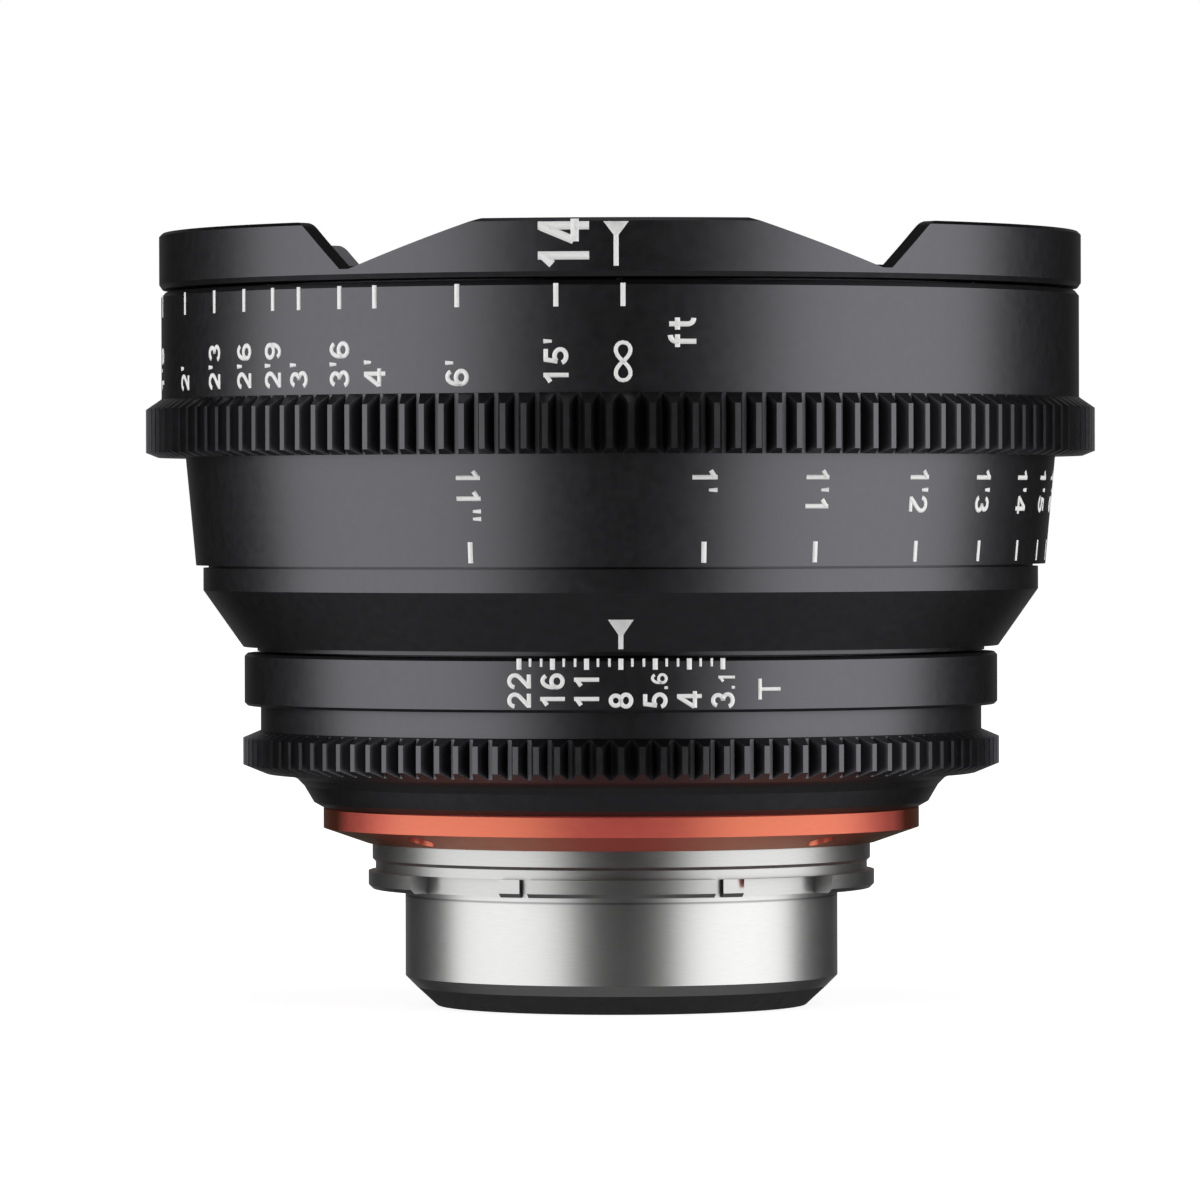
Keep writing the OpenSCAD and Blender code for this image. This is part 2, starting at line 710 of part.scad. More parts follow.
// Cut between a narrow and a broad petal, along the radius
module valley(side) {
    floor_z = z_hood + valley_h;
    rounding_over = 0.04;
    top_z = z_hood_top + rounding_over;
    reach = 3;
    foot_r = valley_floor_w / 4;
    long_top = [-side * (valley_floor_w / 2 + valley_long_w), top_z];
    long_foot = [-side * valley_floor_w / 2, floor_z];
    short_foot = [side * valley_floor_w / 2, floor_z];
    short_top = [side * (valley_floor_w / 2 + valley_short_w), top_z];
    long_out = long_top - [side * hood_h, 0];
    short_out = short_top + [side * hood_h, 0];
    long_arc = corner_arc(long_out, long_top, long_foot, petal_corner_r);
    short_arc = corner_arc(short_foot, short_top, short_out, petal_corner_r);
    translate([hood_inner_r - reach, 0, 0]) rotate([90, 0, 90]) linear_extrude(hood_wall + 2 * reach)
        polygon(concat(
            [[long_arc[0][0], z_hood_top + over]], long_arc,
            corner_arc(long_top, long_foot, short_foot, foot_r),
            corner_arc(long_foot, short_foot, short_top, foot_r),
            short_arc, [[short_arc[len(short_arc) - 1][0], z_hood_top + over]]));
}

module front_hood() {
    color(black) difference() {
        rotate_extrude() polygon([
            [hood_bore_r, z_hood_seat], [barrel_front_r, z_hood_seat], [barrel_front_r, z_hood],
            [hood_outer_r - hood_edge, z_hood], [hood_outer_r, z_hood + hood_edge * 1.5],
            [hood_outer_r, z_hood_top - hood_edge], [hood_outer_r - hood_edge, z_hood_top],
            [hood_inner_r, z_hood_top], [hood_inner_r, z_hood_floor], [hood_bore_r, z_hood_floor]]);
        for (end = [0, 180], side = [1, -1])
            rotate([0, 0, front_azimuth + petal_turn + end + side * valley_angle]) valley(side);
        round_axis(hood_screw_n) post(hood_screw_ring_r, screw_r + fit_gap,
            z_hood_seat - over, z_hood_floor + over);
        round_axis(hood_screw_n) post(hood_screw_ring_r, screw_head_r + fit_gap,
            z_hood_floor - screw_head_h, z_hood_floor + over);
    }
}

module hood_screws() {
    color(steel) round_axis(hood_screw_n)
        translate([hood_screw_ring_r, 0, z_hood_floor - screw_head_h]) rotate([180, 0, 0])
            screw(screw_r, screw_head_r, screw_head_h,
                hood_floor_t - screw_head_h + cell_flange_t + screw_bite);
}

// Stepped light trap between the hood and the front element
module front_trim_ring() {
    foot_w = 1.5;
    foot_r = front_ring_r - 2;
    foot_z = z_front_ring_top + fit_gap;
    brow_r = hood_inner_r - fit_gap;
    brow_in = hood_bore_r - hood_bore_step;
    brow_z = z_hood_floor + trim_t;
    run = (brow_in - foot_r) / trim_steps;
    rise = (brow_z - foot_z - trim_t) / trim_steps;
    color(flat_black) rotate_extrude() polygon(concat(
        [[foot_r, foot_z]],
        [for (i = [0 : trim_steps - 1]) each [
            [foot_r + i * run, foot_z + trim_t + i * rise],
            [foot_r + (i + 1) * run, foot_z + trim_t + i * rise]]],
        [[brow_in, brow_z], [brow_r, brow_z], [brow_r, z_hood_floor], [brow_in, z_hood_floor]],
        [[foot_r + foot_w, foot_z]]));
}

// Front group

module front_cell() {
    ring_bore_r = front_ring_r + fit_gap;
    funnel_h = 3.25;
    color(black) difference() {
        rotate_extrude() polygon([
            [l3_r + fit_gap, z_cell], [cell_tube_r, z_cell], [cell_tube_r, z_cell_under],
            [barrel_front_bore_r - fit_gap, z_cell_under], [barrel_front_bore_r - fit_gap, z_barrel_top],
            [barrel_front_r, z_barrel_top], [barrel_front_r, z_hood_seat],
            [hood_bore_r, z_hood_seat], [hood_bore_r, z_front_ring_top + funnel_h],
            [ring_bore_r, z_front_ring_top], [ring_bore_r, z_front_ring], [l1_r + fit_gap, z_front_ring],
            [l1_r + fit_gap, z_l1], [l2_r + fit_gap, z_l1],
            [l2_r + fit_gap, z_l2], [cell_lip_r, z_l2], [cell_lip_r, z_l3_top], [l3_r + fit_gap, z_l3_top]]);
        round_axis(hood_screw_n) post(hood_screw_ring_r, screw_r + fit_gap,
            z_barrel_top - over, z_hood_seat + over);
        round_axis(guide_pin_n) post(guide_ring_r, guide_pin_r + fit_gap,
            z_cell - over, z_cell + guide_pin_seat);
    }
}

module front_element() {
    color(coated_glass) element(z_l1, z_l1_edge, l1_r, l1_r, l1_dome_h, l1_hollow_r, -l1_hollow_h);
}

module front_retaining_ring() {
    lip_r = l1_r - 1.4;
    lip_t = 0.5;
    dome_gap = 0.15;
    dome_z = z_l1_edge + l1_dome_h - l1_dome_r;
    lip_z = dome_z + sqrt(l1_dome_r * l1_dome_r - lip_r * lip_r) + dome_gap;
    color(flat_black) rotate_extrude() polygon([
        [front_ring_r, z_front_ring], [l1_r, z_front_ring], [lip_r, lip_z], [lip_r, lip_z + lip_t],
        [l1_r + lip_t, z_front_ring_top], [front_ring_r, z_front_ring_top]]);
}

module front_spacer() {
    color(flat_black) ring(l2_r - seat_w, l2_r, z_l2_top, z_l1);
}

module second_element() {
    color(coated_glass) element(z_l2, z_l2_top, l2_r, l2_r - seat_w, l2_sag[0], cell_lip_r, l2_sag[1]);
}

module third_element() {
    color(coated_glass) element(z_l3, z_l3_top, l3_r, l3_face_r, l3_sag[0], l3_face_r, l3_sag[1]);
}

module front_group_ring() {
    color(flat_black) ring(l3_face_r, l3_r, z_cell, z_l3);
}

module guide_pins() {
    color(steel) round_axis(guide_pin_n)
        post(guide_ring_r, guide_pin_r, z_carrier, z_cell + guide_pin_seat);
}

// Main barrel and its fixed rings

module main_barrel() {
    slot_play = 1.5;
    key_half = asin(key_w / 2 / barrel_front_bore_r) + slot_play;
    arm_half = iris_turn / 2 + asin(arm_w / 2 / barrel_rear_bore_r) + slot_play;
    color(black) difference() {
        rotate_extrude() polygon([
            [barrel_boss_r, z_housing_top], [barrel_lip_r, z_housing_top], [barrel_lip_r, z_housing_lip + fit_gap],
            [barrel_rear_r, z_housing_lip + fit_gap], [barrel_rear_r, z_web],
            [barrel_front_r, z_web], [barrel_front_r, z_barrel_top],
            [barrel_front_bore_r, z_barrel_top], [barrel_front_bore_r, z_helicoid - ring_gap],
            [web_bore_r, z_helicoid - ring_gap], [web_bore_r, z_web_floor],
            [barrel_rear_bore_r, z_web_floor], [barrel_rear_bore_r, z_housing_top + barrel_boss_h],
            [barrel_boss_r, z_housing_top + barrel_boss_h]]);
        ring_sector(barrel_front_bore_r - over, barrel_front_r + over, z_key - ring_gap, z_key + key_h + ring_gap,
            key_azimuth - key_half, focus_turn + 2 * key_half);
        ring_sector(barrel_rear_bore_r - over, barrel_rear_r + over, z_arm - ring_gap, z_arm + arm_h + ring_gap,
            arm_azimuth - arm_half, 2 * arm_half);
        round_axis(hood_screw_n) post(hood_screw_ring_r, screw_r + fit_gap,
            z_barrel_top - screw_bite - over, z_barrel_top + over);
        round_axis(housing_screw_n) post(housing_screw_ring_r, screw_r + fit_gap,
            z_housing_top - over, z_housing_top + screw_bite + over);
    }
}

module index_ring() {
    color(black) rotate_extrude() polygon([
        [barrel_rear_r + fit_gap, z_iris_top + ring_gap], [index_groove_r, z_iris_top + ring_gap],
        [index_groove_r, z_index], [index_rear_r, z_index], [index_band_r, z_index_cone_top],
        [index_band_r, z_index_top], [index_lip_r, z_index_top], [index_lip_r, z_index_lip],
        [barrel_front_r + fit_gap, z_index_lip],
        [barrel_front_r + fit_gap, z_web], [barrel_rear_r + fit_gap, z_web]]);
}

module helicoid_stop_ring() {
    tool_slot = [3, 2, 2];
    color(flat_black) difference() {
        ring(barrel_front_bore_r - fit_gap - stop_ring_w, barrel_front_bore_r - fit_gap,
            z_stop_ring, z_stop_ring + stop_ring_h);
        for (turn = [0, 180]) rotate([0, 0, turn]) translate([barrel_front_bore_r - stop_ring_w,
            0, z_stop_ring + stop_ring_h]) cube(tool_slot, center = true);
    }
}

// Rear end

module rear_housing() {
    register_r = barrel_boss_r - fit_gap;
    register_wall = 2;
    flare_z = z_housing_top - housing_lip_h;
    flare_w = 0.9;
    color(black) difference() {
        rotate_extrude() polygon([
            [mount_bore_r, z_shim], [housing_spigot_r, z_shim], [housing_spigot_r, z_housing],
            [housing_rear_r - housing_edge * 1.8, z_housing], [housing_rear_r, z_housing + housing_edge],
            [housing_front_r, flare_z - flare_w], [housing_front_r + flare_w, flare_z],
            [housing_lip_r, z_iris], [housing_lip_r, z_housing_lip], [barrel_lip_r + fit_gap, z_housing_lip],
            [barrel_lip_r + fit_gap, z_housing_top], [register_r, z_housing_top],
            [register_r, z_housing_top + housing_register_h],
            [register_r - register_wall, z_housing_top + housing_register_h],
            [register_r - register_wall, z_housing_top], [mount_bore_r, z_housing_top]]);
        round_axis(housing_screw_n) post(housing_screw_ring_r, screw_r + fit_gap,
            z_housing - over, z_housing_top + over);
        round_axis(housing_screw_n) post(housing_screw_ring_r, screw_head_r + fit_gap,
            z_housing - over, z_housing + screw_head_h);
        round_axis(red_screw_n, front_azimuth + 45) post(red_screw_ring_r, screw_r + fit_gap,
            z_housing - over, z_housing_top - 2 * screw_tip_clear);
        round_axis(mount_screw_n, front_azimuth + 45) post(mount_screw_ring_r, screw_r + fit_gap,
            z_shim - over, z_shim + screw_bite + over);
    }
}

module housing_screws() {
    color(steel) round_axis(housing_screw_n)
        translate([housing_screw_ring_r, 0, z_housing + screw_head_h])
            screw(screw_r, screw_head_r, screw_head_h, housing_h - screw_head_h + screw_bite);
}

module red_trim_ring() {
    red_edge = 0.2;
    color(anodised_red) difference() {
        rotate_extrude() polygon([
            [housing_spigot_r + fit_gap, z_red], [red_rear_r, z_red], [red_r, z_red_band],
            [red_r, z_housing - red_edge], [red_r - red_edge, z_housing], [housing_spigot_r + fit_gap, z_housing]]);
        round_axis(red_screw_n, front_azimuth + 45) post(red_screw_ring_r, screw_r + fit_gap,
            z_red - over, z_housing + over);
        round_axis(red_screw_n, front_azimuth + 45) post(red_screw_ring_r, screw_head_r + fit_gap,
            z_red - over, z_red_band + red_head_depth);
    }
}

module red_ring_screws() {
    color(flat_black) round_axis(red_screw_n, front_azimuth + 45)
        translate([red_screw_ring_r, 0, z_red_band + red_head_depth])
            screw(screw_r, screw_head_r, screw_head_h,
                z_housing_top - 3 * screw_tip_clear - z_red_band - red_head_depth);
}

module mount_shim() {
    color(brass) difference() {
        ring(mount_bore_r, housing_spigot_r, z_mount, z_shim);
        round_axis(mount_screw_n, front_azimuth + 45) post(mount_screw_ring_r, screw_r + fit_gap,
            z_mount - over, z_shim + over);
    }
}

module mount_flange() {
    web_z = z_mount - mount_web_t;
    ring_edge = 0.4;
    gap_angle = 90 - wing_front_half - wing_side_half;
    color(steel) difference() {
        rotate_extrude() polygon([
            [mount_bore_r, web_z], [mount_bore_r, z_mount], [mount_ring_r, z_mount],
            [mount_ring_r, z_neck + ring_edge], [mount_neck_r, z_neck], [mount_neck_r, z_wing],
            [wing_r, z_wing], [wing_r, wing_edge], [wing_r - wing_edge, 0], [mount_barrel_r, 0],
            [mount_barrel_r, -mount_barrel_len], [barrel_end_r, z_barrel_end],
            [barrel_bore_r, z_barrel_end], [barrel_bore_r, web_z]]);
        for (end = [0, 180], first = [wing_front_half, -wing_front_half - gap_angle])
            ring_sector(wing_root_r, wing_r + over, -over, z_wing, front_azimuth + end + first, gap_angle);
        for (side = [-1, 1]) rotate([0, 0, front_azimuth + side * wing_notch_angle])
            translate([wing_r - wing_notch_depth, -wing_notch_w / 2, -over])
                cube([wing_notch_depth + over, wing_notch_w, wing_t + over]);
        round_axis(mount_screw_n, front_azimuth + 45) post(mount_screw_ring_r, screw_r + fit_gap,
            web_z - over, z_mount + over);
    }
}

module mount_screws() {
    color(steel) round_axis(mount_screw_n, front_azimuth + 45)
        translate([mount_screw_ring_r, 0, z_mount - mount_web_t])
            screw(screw_r, screw_head_r, screw_head_h, mount_web_t + shim_t + screw_bite);
}

module rear_baffle() {
    spigot_r = barrel_bore_r - fit_gap;
    floor_z = z_barrel_end + 0.4;
    port_step = 1.2;
    port_edge = 0.6;
    color(flat_black) rotate_extrude() polygon([
        [baffle_port_r, z_baffle], [baffle_rear_r, z_baffle], [barrel_end_r, z_barrel_end],
        [spigot_r, z_barrel_end], [spigot_r, z_barrel_end + baffle_spigot_h],
        [spigot_r - baffle_spigot_wall, z_barrel_end + baffle_spigot_h],
        [spigot_r - baffle_spigot_wall, floor_z], [baffle_port_r + port_step, floor_z],
        [baffle_port_r + port_step, z_baffle + 2 * port_edge], [baffle_port_r, z_baffle + port_edge]]);
}

// Focus ring and its drive

module focus_ring() {
    core_r = gear_root_r(focus_teeth) - root_overlap;
    lip_bore_r = index_lip_r + run_gap;
    lip_bore_z = z_index_lip + ring_gap;
    color(black) difference() {
        union() {
            rotate_extrude() difference() {
                polygon([
                    [lip_bore_r, z_focus], [taper_foot_r, z_focus], [taper_top_r, z_focus_gear],
                    [core_r, z_focus_gear], [core_r, z_focus_gear_top],
                    [sleeve_r, z_focus_gear_top], [sleeve_r, z_focus_top - focus_edge * 1.2],
                    [sleeve_r - focus_edge, z_focus_top], [focus_bore_r, z_focus_top],
                    [focus_bore_r, lip_bore_z], [lip_bore_r, lip_bore_z]]);
                translate([0, z_focus_gear + focus_land_w])
                    square([relief_r, z_focus_top - z_focus_gear - 2 * focus_land_w]);
            }
            gear_band(focus_teeth, front_azimuth + 180 / focus_teeth,
                core_r - over, focus_teeth_rear_r, focus_gear_rear_h, sleeve_r + root_overlap,
                z_focus_gear, focus_gear_h, focus_gear_land);
        }
        rotate([0, 0, key_azimuth])
            translate([focus_bore_r - over, -key_w / 2 - fit_gap, z_focus - over])
                cube([key_depth + fit_gap + over, key_w + 2 * fit_gap, z_key + key_h + fit_gap - z_focus + over]);
    }
}

module focus_key() {
    color(steel) rotate([0, 0, key_azimuth]) intersection() {
        translate([key_inner_r, -key_w / 2, z_key]) cube([key_outer_r - key_inner_r, key_w, key_h]);
        translate([0, 0, z_key - over]) cylinder(r = key_outer_r, h = key_h + 2 * over);
    }
}

module helicoid_ring() {
    color(brass) difference() {
        ring(drive_bore_r, helicoid_r, z_helicoid, z_helicoid_top);
        rotate([0, 0, key_azimuth])
            translate([key_inner_r - fit_gap, -key_w / 2 - fit_gap, z_key])
                cube([key_depth + fit_gap + over, key_w + 2 * fit_gap, z_helicoid_top - z_key + over]);
    }
}

// Focus group

module focus_carrier() {
    slot_play = 1.5;
    slot_half = iris_turn / 2 + asin(arm_w / 2 / carrier_bore_r) + slot_play;
    neck_r = mid_r + fit_gap;
    color(black) difference() {
        rotate_extrude() polygon([
            [carrier_bore_r, z_iris_base], [carrier_tube_r, z_iris_base], [carrier_tube_r, z_carrier],
            [rim_r, z_carrier], [rim_r, z_carrier_rim],
            [rim_r - carrier_rim_wall, z_carrier_rim],
            [rim_r - carrier_rim_wall, z_carrier_floor], [l4_r + fit_gap, z_carrier_floor],
            [l4_r + fit_gap, z_l4], [neck_r, z_l4], [neck_r, z_l7], [mid_r - seat_w, z_l7],
            [mid_r - seat_w, z_carrier_shelf], [carrier_bore_r, z_carrier_shelf]]);
        ring_sector(carrier_bore_r - over, carrier_tube_r + over, z_arm - focus_stroke - ring_gap,
            z_arm + arm_h + ring_gap, arm_azimuth - slot_half, 2 * slot_half);
        round_axis(guide_pin_n) post(guide_ring_r, guide_pin_r + fit_gap,
            z_carrier - over, z_carrier_floor + over);
        round_axis(rear_screw_n) post(rear_screw_ring_r, rear_screw_r + fit_gap,
            z_iris_base - over, z_iris_base + screw_bite - screw_tip_clear);
    }
}

module carrier_ring() {
    color(flat_black) ring(l4_face_r, l4_r, z_carrier_ring, z_carrier_floor);
}

module fourth_element() {
    color(coated_glass) element(z_l4, z_carrier_ring, l4_r, l4_face_r, l4_sag[0], mid_front_r, l4_sag[1]);
}

module fifth_element() {
    color(coated_glass) element(z_l5, z_l4, mid_r, mid_front_r, l5_sag[0], mid_r - seat_w, l5_sag[1]);
}

module sixth_element() {
    color(coated_glass) element(z_l6, z_l5, mid_r, mid_r - seat_w, l6_sag[0], mid_rear_r, l6_sag[1]);
}

module carrier_spacer() {
    color(flat_black) ring(mid_r - seat_w, mid_r, z_carrier_spacer, z_l6);
}

module seventh_element() {
    color(coated_glass) element(z_l7, z_carrier_spacer, mid_r, mid_r - seat_w, l7_sag[0], mid_rear_r, l7_sag[1]);
}

module rear_cell() {
    color(black) difference() {
        rotate_extrude() polygon([
            [outer_r + fit_gap, z_rear_cell], [rear_cell_r, z_rear_cell],
            [rear_cell_r, z_iris_base - rear_flange_t], [carrier_tube_r, z_iris_base - rear_flange_t],
            [carrier_tube_r, z_iris_base], [inner_lip_r, z_iris_base], [inner_lip_r, z_l8_top],
            [inner_r + fit_gap, z_l8_top], [inner_r + fit_gap, z_l10], [outer_r + fit_gap, z_l10]]);
        round_axis(rear_screw_n) post(rear_screw_ring_r, rear_screw_r + fit_gap,
            z_iris_base - rear_flange_t - over, z_iris_base + over);
        round_axis(rear_screw_n) post(rear_screw_ring_r, rear_head_r + fit_gap,
            z_iris_base - rear_flange_t - over, z_iris_base - rear_clamp_t);
    }
}

module rear_cell_screws() {
    color(steel) round_axis(rear_screw_n)
        translate([rear_screw_ring_r, 0, z_iris_base - rear_clamp_t])
            screw(rear_screw_r, rear_head_r, screw_head_h, rear_clamp_t + screw_bite - 2 * screw_tip_clear);
}

module eighth_element() {
    color(coated_glass) element(z_l8, z_l8_top, inner_r, inner_front_r, l8_sag[0], inner_r - seat_w, l8_sag[1]);
}

module ninth_element() {
    color(coated_glass) element(z_l9, z_l8, inner_r, inner_r - seat_w, l9_sag[0], inner_r - seat_w, l9_sag[1]);
}

module inner_spacer() {
    color(flat_black) ring(inner_r - seat_w, inner_r, z_inner_spacer, z_l9);
}

module tenth_element() {
    color(coated_glass) element(z_l10, z_inner_spacer, inner_r, inner_r - seat_w, l10_sag[0], inner_lip_r, l10_sag[1]);
}

module eleventh_element() {
    color(coated_glass) element(z_l11, z_l10, outer_r, inner_lip_r, l11_sag[0], outer_r - seat_w, l11_sag[1]);
}

module twelfth_element() {
    color(coated_glass) element(z_l12, z_l11, outer_r, outer_r - seat_w, l12_sag[0], outer_r - seat_w, l12_sag[1]);
}

module outer_spacer() {
    color(flat_black) ring(outer_r - seat_w, outer_r, z_outer_spacer, z_l12);
}

module thirteenth_element() {
    color(coated_glass) element(z_l13, z_outer_spacer, outer_r,
        outer_r - seat_w, l13_sag[0], outer_r - seat_w, l13_sag[1]);
}

module rear_element() {
    color(coated_glass) element(z_l14, z_l13, outer_r, outer_r - seat_w, l14_sag[0], rear_face_r, l14_sag[1]);
}

module rear_retaining_ring() {
    tool_slot = [3, 1.6, 1.6];
    color(flat_black) difference() {
        ring(rear_face_r, outer_r, z_rear_ring, z_l14);
        for (turn = [0, 180]) rotate([0, 0, turn]) translate([outer_r - seat_w, 0, z_rear_ring])
            cube(tool_slot, center = true);
    }
}

// Iris ring and iris

module iris_ring() {
    band_edge = 0.35;
    core_r = gear_root_r(iris_gear_teeth) - 1.2;
    lip_bore_r = housing_lip_r + run_gap;
    lip_bore_z = z_housing_lip + ring_gap;
    color(black) difference() {
        union() {
            rotate_extrude() polygon([
                [lip_bore_r, z_iris], [core_r, z_iris],
                [core_r, z_iris_gear_top], [iris_waist_r, z_iris_gear_top],
                [iris_waist_r, z_iris_waist_top], [iris_ring_r - band_edge, z_iris_waist_top],
                [iris_ring_r, z_iris_waist_top + band_edge], [iris_ring_r, z_iris_top - band_edge],
                [iris_ring_r - band_edge, z_iris_top], [iris_bore_r, z_iris_top],
                [iris_bore_r, lip_bore_z], [lip_bore_r, lip_bore_z]]);
            gear_band(iris_gear_teeth, front_azimuth, core_r - over, iris_gear_rear_r, iris_gear_rear_h,
                iris_waist_r + root_overlap, z_iris, iris_gear_h, iris_gear_land);
        }
        rotate([0, 0, arm_azimuth]) translate([iris_bore_r - over, -arm_w / 2 - fit_gap, z_iris - over])
            cube([arm_depth + fit_gap + over, arm_w + 2 * fit_gap, z_arm + arm_h + fit_gap - z_iris + over]);
    }
}

module iris_drive_arm() {
    color(steel) rotate([0, 0, arm_azimuth]) translate([arm_r, -arm_w / 2, z_arm])
        cube([iris_bore_r + arm_depth - arm_r, arm_w, arm_h]);
}

module iris_base() {
    color(flat_black) difference() {
        ring(iris_base_bore_r, carrier_bore_r - fit_gap, z_iris_base, z_iris_base_top);
        round_axis(blade_n) post(pivot_ring_r, blade_pin_r + fit_gap,
            z_iris_base + pin_seat_floor, z_iris_base_top + over);
    }
}

// Azimuth and radius of a drive pin, from its blade's swing, seen from the pivot's azimuth
function drive_pin(swing) = [
    pivot_ring_r + blade_lever * sin(swing - blade_rest), -blade_lever * cos(swing - blade_rest)];

// Slot of the cam ring: the drive pin's path as the ring sees it
module cam_slot() {
    steps = 10;
    slot_clear = 0.15;
    half_w = blade_pin_r + slot_clear;
    past = 3;
    swings = [for (i = [0 : steps]) -past + (iris_turn + 2 * past) * i / steps];
    path = [for (s = swings) let (p = drive_pin(s))
        [norm(p), atan2(p[1], p[0]) - (s - blade_rest)]];
    polygon(concat(
        [for (p = path) polar(p[0] + half_w, p[1])],
        [for (i = [steps : -1 : 0]) polar(path[i][0] - half_w, path[i][1])]));
}

module iris_cam() {
    notch_w = arm_w + 2 * fit_gap;
    skirt_z = z_iris_base_top + blade_clear_under;
    notch_top = z_arm + arm_h + 2 * fit_gap;
    color(brass) difference() {
        rotate_extrude() polygon([
            [cam_bore_r, z_cam], [cam_skirt_r, z_cam], [cam_skirt_r, skirt_z],
            [cam_r, skirt_z], [cam_r, z_cam_top], [cam_bore_r, z_cam_top]]);
        translate([0, 0, z_cam - over]) linear_extrude(cam_t + 2 * over)
            round_axis(blade_n) cam_slot();
        rotate([0, 0, arm_azimuth]) translate([cam_skirt_r - over, -notch_w / 2, z_iris_base_top])
            cube([cam_skirt_wall + 2 * over, notch_w, notch_top - z_iris_base_top]);
    }
}

// Outline of a blade as it lies wide open, with its pivot on the +X axis
module blade_outline() {
    band_mid = (blade_inner_r + blade_outer_r) / 2;
    band_w = blade_outer_r - blade_inner_r;
    tail = drive_pin(0);
    reach = tail - [pivot_ring_r, 0];
    difference() {
        circle(r = blade_outer_r);
        circle(r = blade_inner_r);
        polygon(concat([[0, 0]],
            [for (i = [0 : 8]) polar(blade_outer_r * 2, blade_span + (360 - blade_span) * i / 8)]));
    }
    rotate(blade_span) translate([band_mid, 0]) circle(r = band_w / 2);
    translate([band_mid, 0]) circle(r = band_w / 2);
    translate([band_mid, -blade_ear_r]) square([pivot_ring_r - band_mid, 2 * blade_ear_r]);
    translate([pivot_ring_r, 0]) circle(r = blade_ear_r);
    translate([pivot_ring_r, 0]) rotate(atan2(reach[1], reach[0]))
        translate([0, -blade_ear_r]) square([blade_lever, 2 * blade_ear_r]);
    translate(tail) circle(r = blade_ear_r);
}

// Blade number i, swung half closed, with its pivot pin below and its drive pin above
module iris_blade(i) {
    z = z_blade + i * blade_pitch;
    tail = drive_pin(0);
    pin_z = z_iris_base + pin_seat_floor + blade_clear_under;
    pin_top = z_cam_top - blade_clear_under;
    color(flat_black) rotate([0, 0, front_azimuth + i * blade_step])
        translate([pivot_ring_r, 0, 0]) rotate([0, 0, blade_rest]) translate([-pivot_ring_r, 0, 0]) {
            translate([0, 0, z]) linear_extrude(blade_t) blade_outline();
            translate([pivot_ring_r, 0, pin_z]) cylinder(r = blade_pin_r, h = z + blade_t - pin_z);
            translate([tail[0], tail[1], z]) cylinder(r = blade_pin_r, h = pin_top - z);
        }
}

front_hood();
hood_screws();
front_trim_ring();
front_retaining_ring();
front_element();
front_spacer();
second_element();
third_element();
front_group_ring();
front_cell();
guide_pins();
main_barrel();
index_ring();
helicoid_stop_ring();
rear_housing();
housing_screws();
red_trim_ring();
red_ring_screws();
mount_shim();
mount_flange();
mount_screws();
rear_baffle();
focus_ring();
focus_key();
helicoid_ring();
focus_carrier();
fourth_element();
carrier_ring();
fifth_element();
sixth_element();
carrier_spacer();
seventh_element();
iris_base();
rear_cell();
rear_cell_screws();
eighth_element();
ninth_element();
inner_spacer();
tenth_element();
eleventh_element();
twelfth_element();
outer_spacer();
thirteenth_element();
rear_element();
rear_retaining_ring();
iris_ring();
iris_drive_arm();
iris_cam();
for (i = [0 : blade_n - 1])
    iris_blade(i);
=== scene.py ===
import json
import math

import bpy
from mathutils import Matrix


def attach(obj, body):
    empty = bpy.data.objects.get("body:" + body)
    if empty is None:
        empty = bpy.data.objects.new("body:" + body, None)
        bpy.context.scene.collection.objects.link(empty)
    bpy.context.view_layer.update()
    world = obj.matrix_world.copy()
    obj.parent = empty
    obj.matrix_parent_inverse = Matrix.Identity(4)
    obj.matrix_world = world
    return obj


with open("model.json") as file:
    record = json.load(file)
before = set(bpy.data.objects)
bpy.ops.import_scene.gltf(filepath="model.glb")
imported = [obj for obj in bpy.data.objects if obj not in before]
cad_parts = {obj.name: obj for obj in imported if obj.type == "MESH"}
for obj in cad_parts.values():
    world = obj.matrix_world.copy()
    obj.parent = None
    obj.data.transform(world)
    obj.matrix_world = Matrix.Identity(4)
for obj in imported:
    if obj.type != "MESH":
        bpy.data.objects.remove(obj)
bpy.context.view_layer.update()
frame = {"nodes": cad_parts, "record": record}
mm = 0.001
print("frame loaded:", len(frame["nodes"]), "nodes")


# finishes

# most of a noise's values lie in the span
noise = {"span": (0.3, 0.7), "grainDetail": 3, "reliefDetail": 2}


# the values go to the node's inputs, or to its settings where no input has the name
def addNode(tree, kind, **values):
    node = tree.nodes.new("ShaderNode" + kind)
    for key, value in values.items():
        if key in node.inputs:
            node.inputs[key].default_value = value
        else:
            setattr(node, key, value)
    return node


# a value taken from one span to another
def addRange(tree, value, source, target):
    spread = addNode(tree, "MapRange")
    for name, limit in zip(("From Min", "From Max", "To Min", "To Max"), (*source, *target)):
        spread.inputs[name].default_value = limit
    tree.links.new(value, spread.inputs["Value"])
    return spread.outputs["Result"]


def objectPlace(tree, stretch):
    place = addNode(tree, "TexCoord")
    scaled = addNode(tree, "Mapping", Scale=stretch)
    tree.links.new(place.outputs["Object"], scaled.inputs["Vector"])
    return scaled.outputs["Vector"]


def objectNoise(tree, stretch, detail):
    texture = addNode(tree, "TexNoise", Scale=1, Detail=detail)
    tree.links.new(objectPlace(tree, stretch), texture.inputs["Vector"])
    return texture.outputs["Fac"]


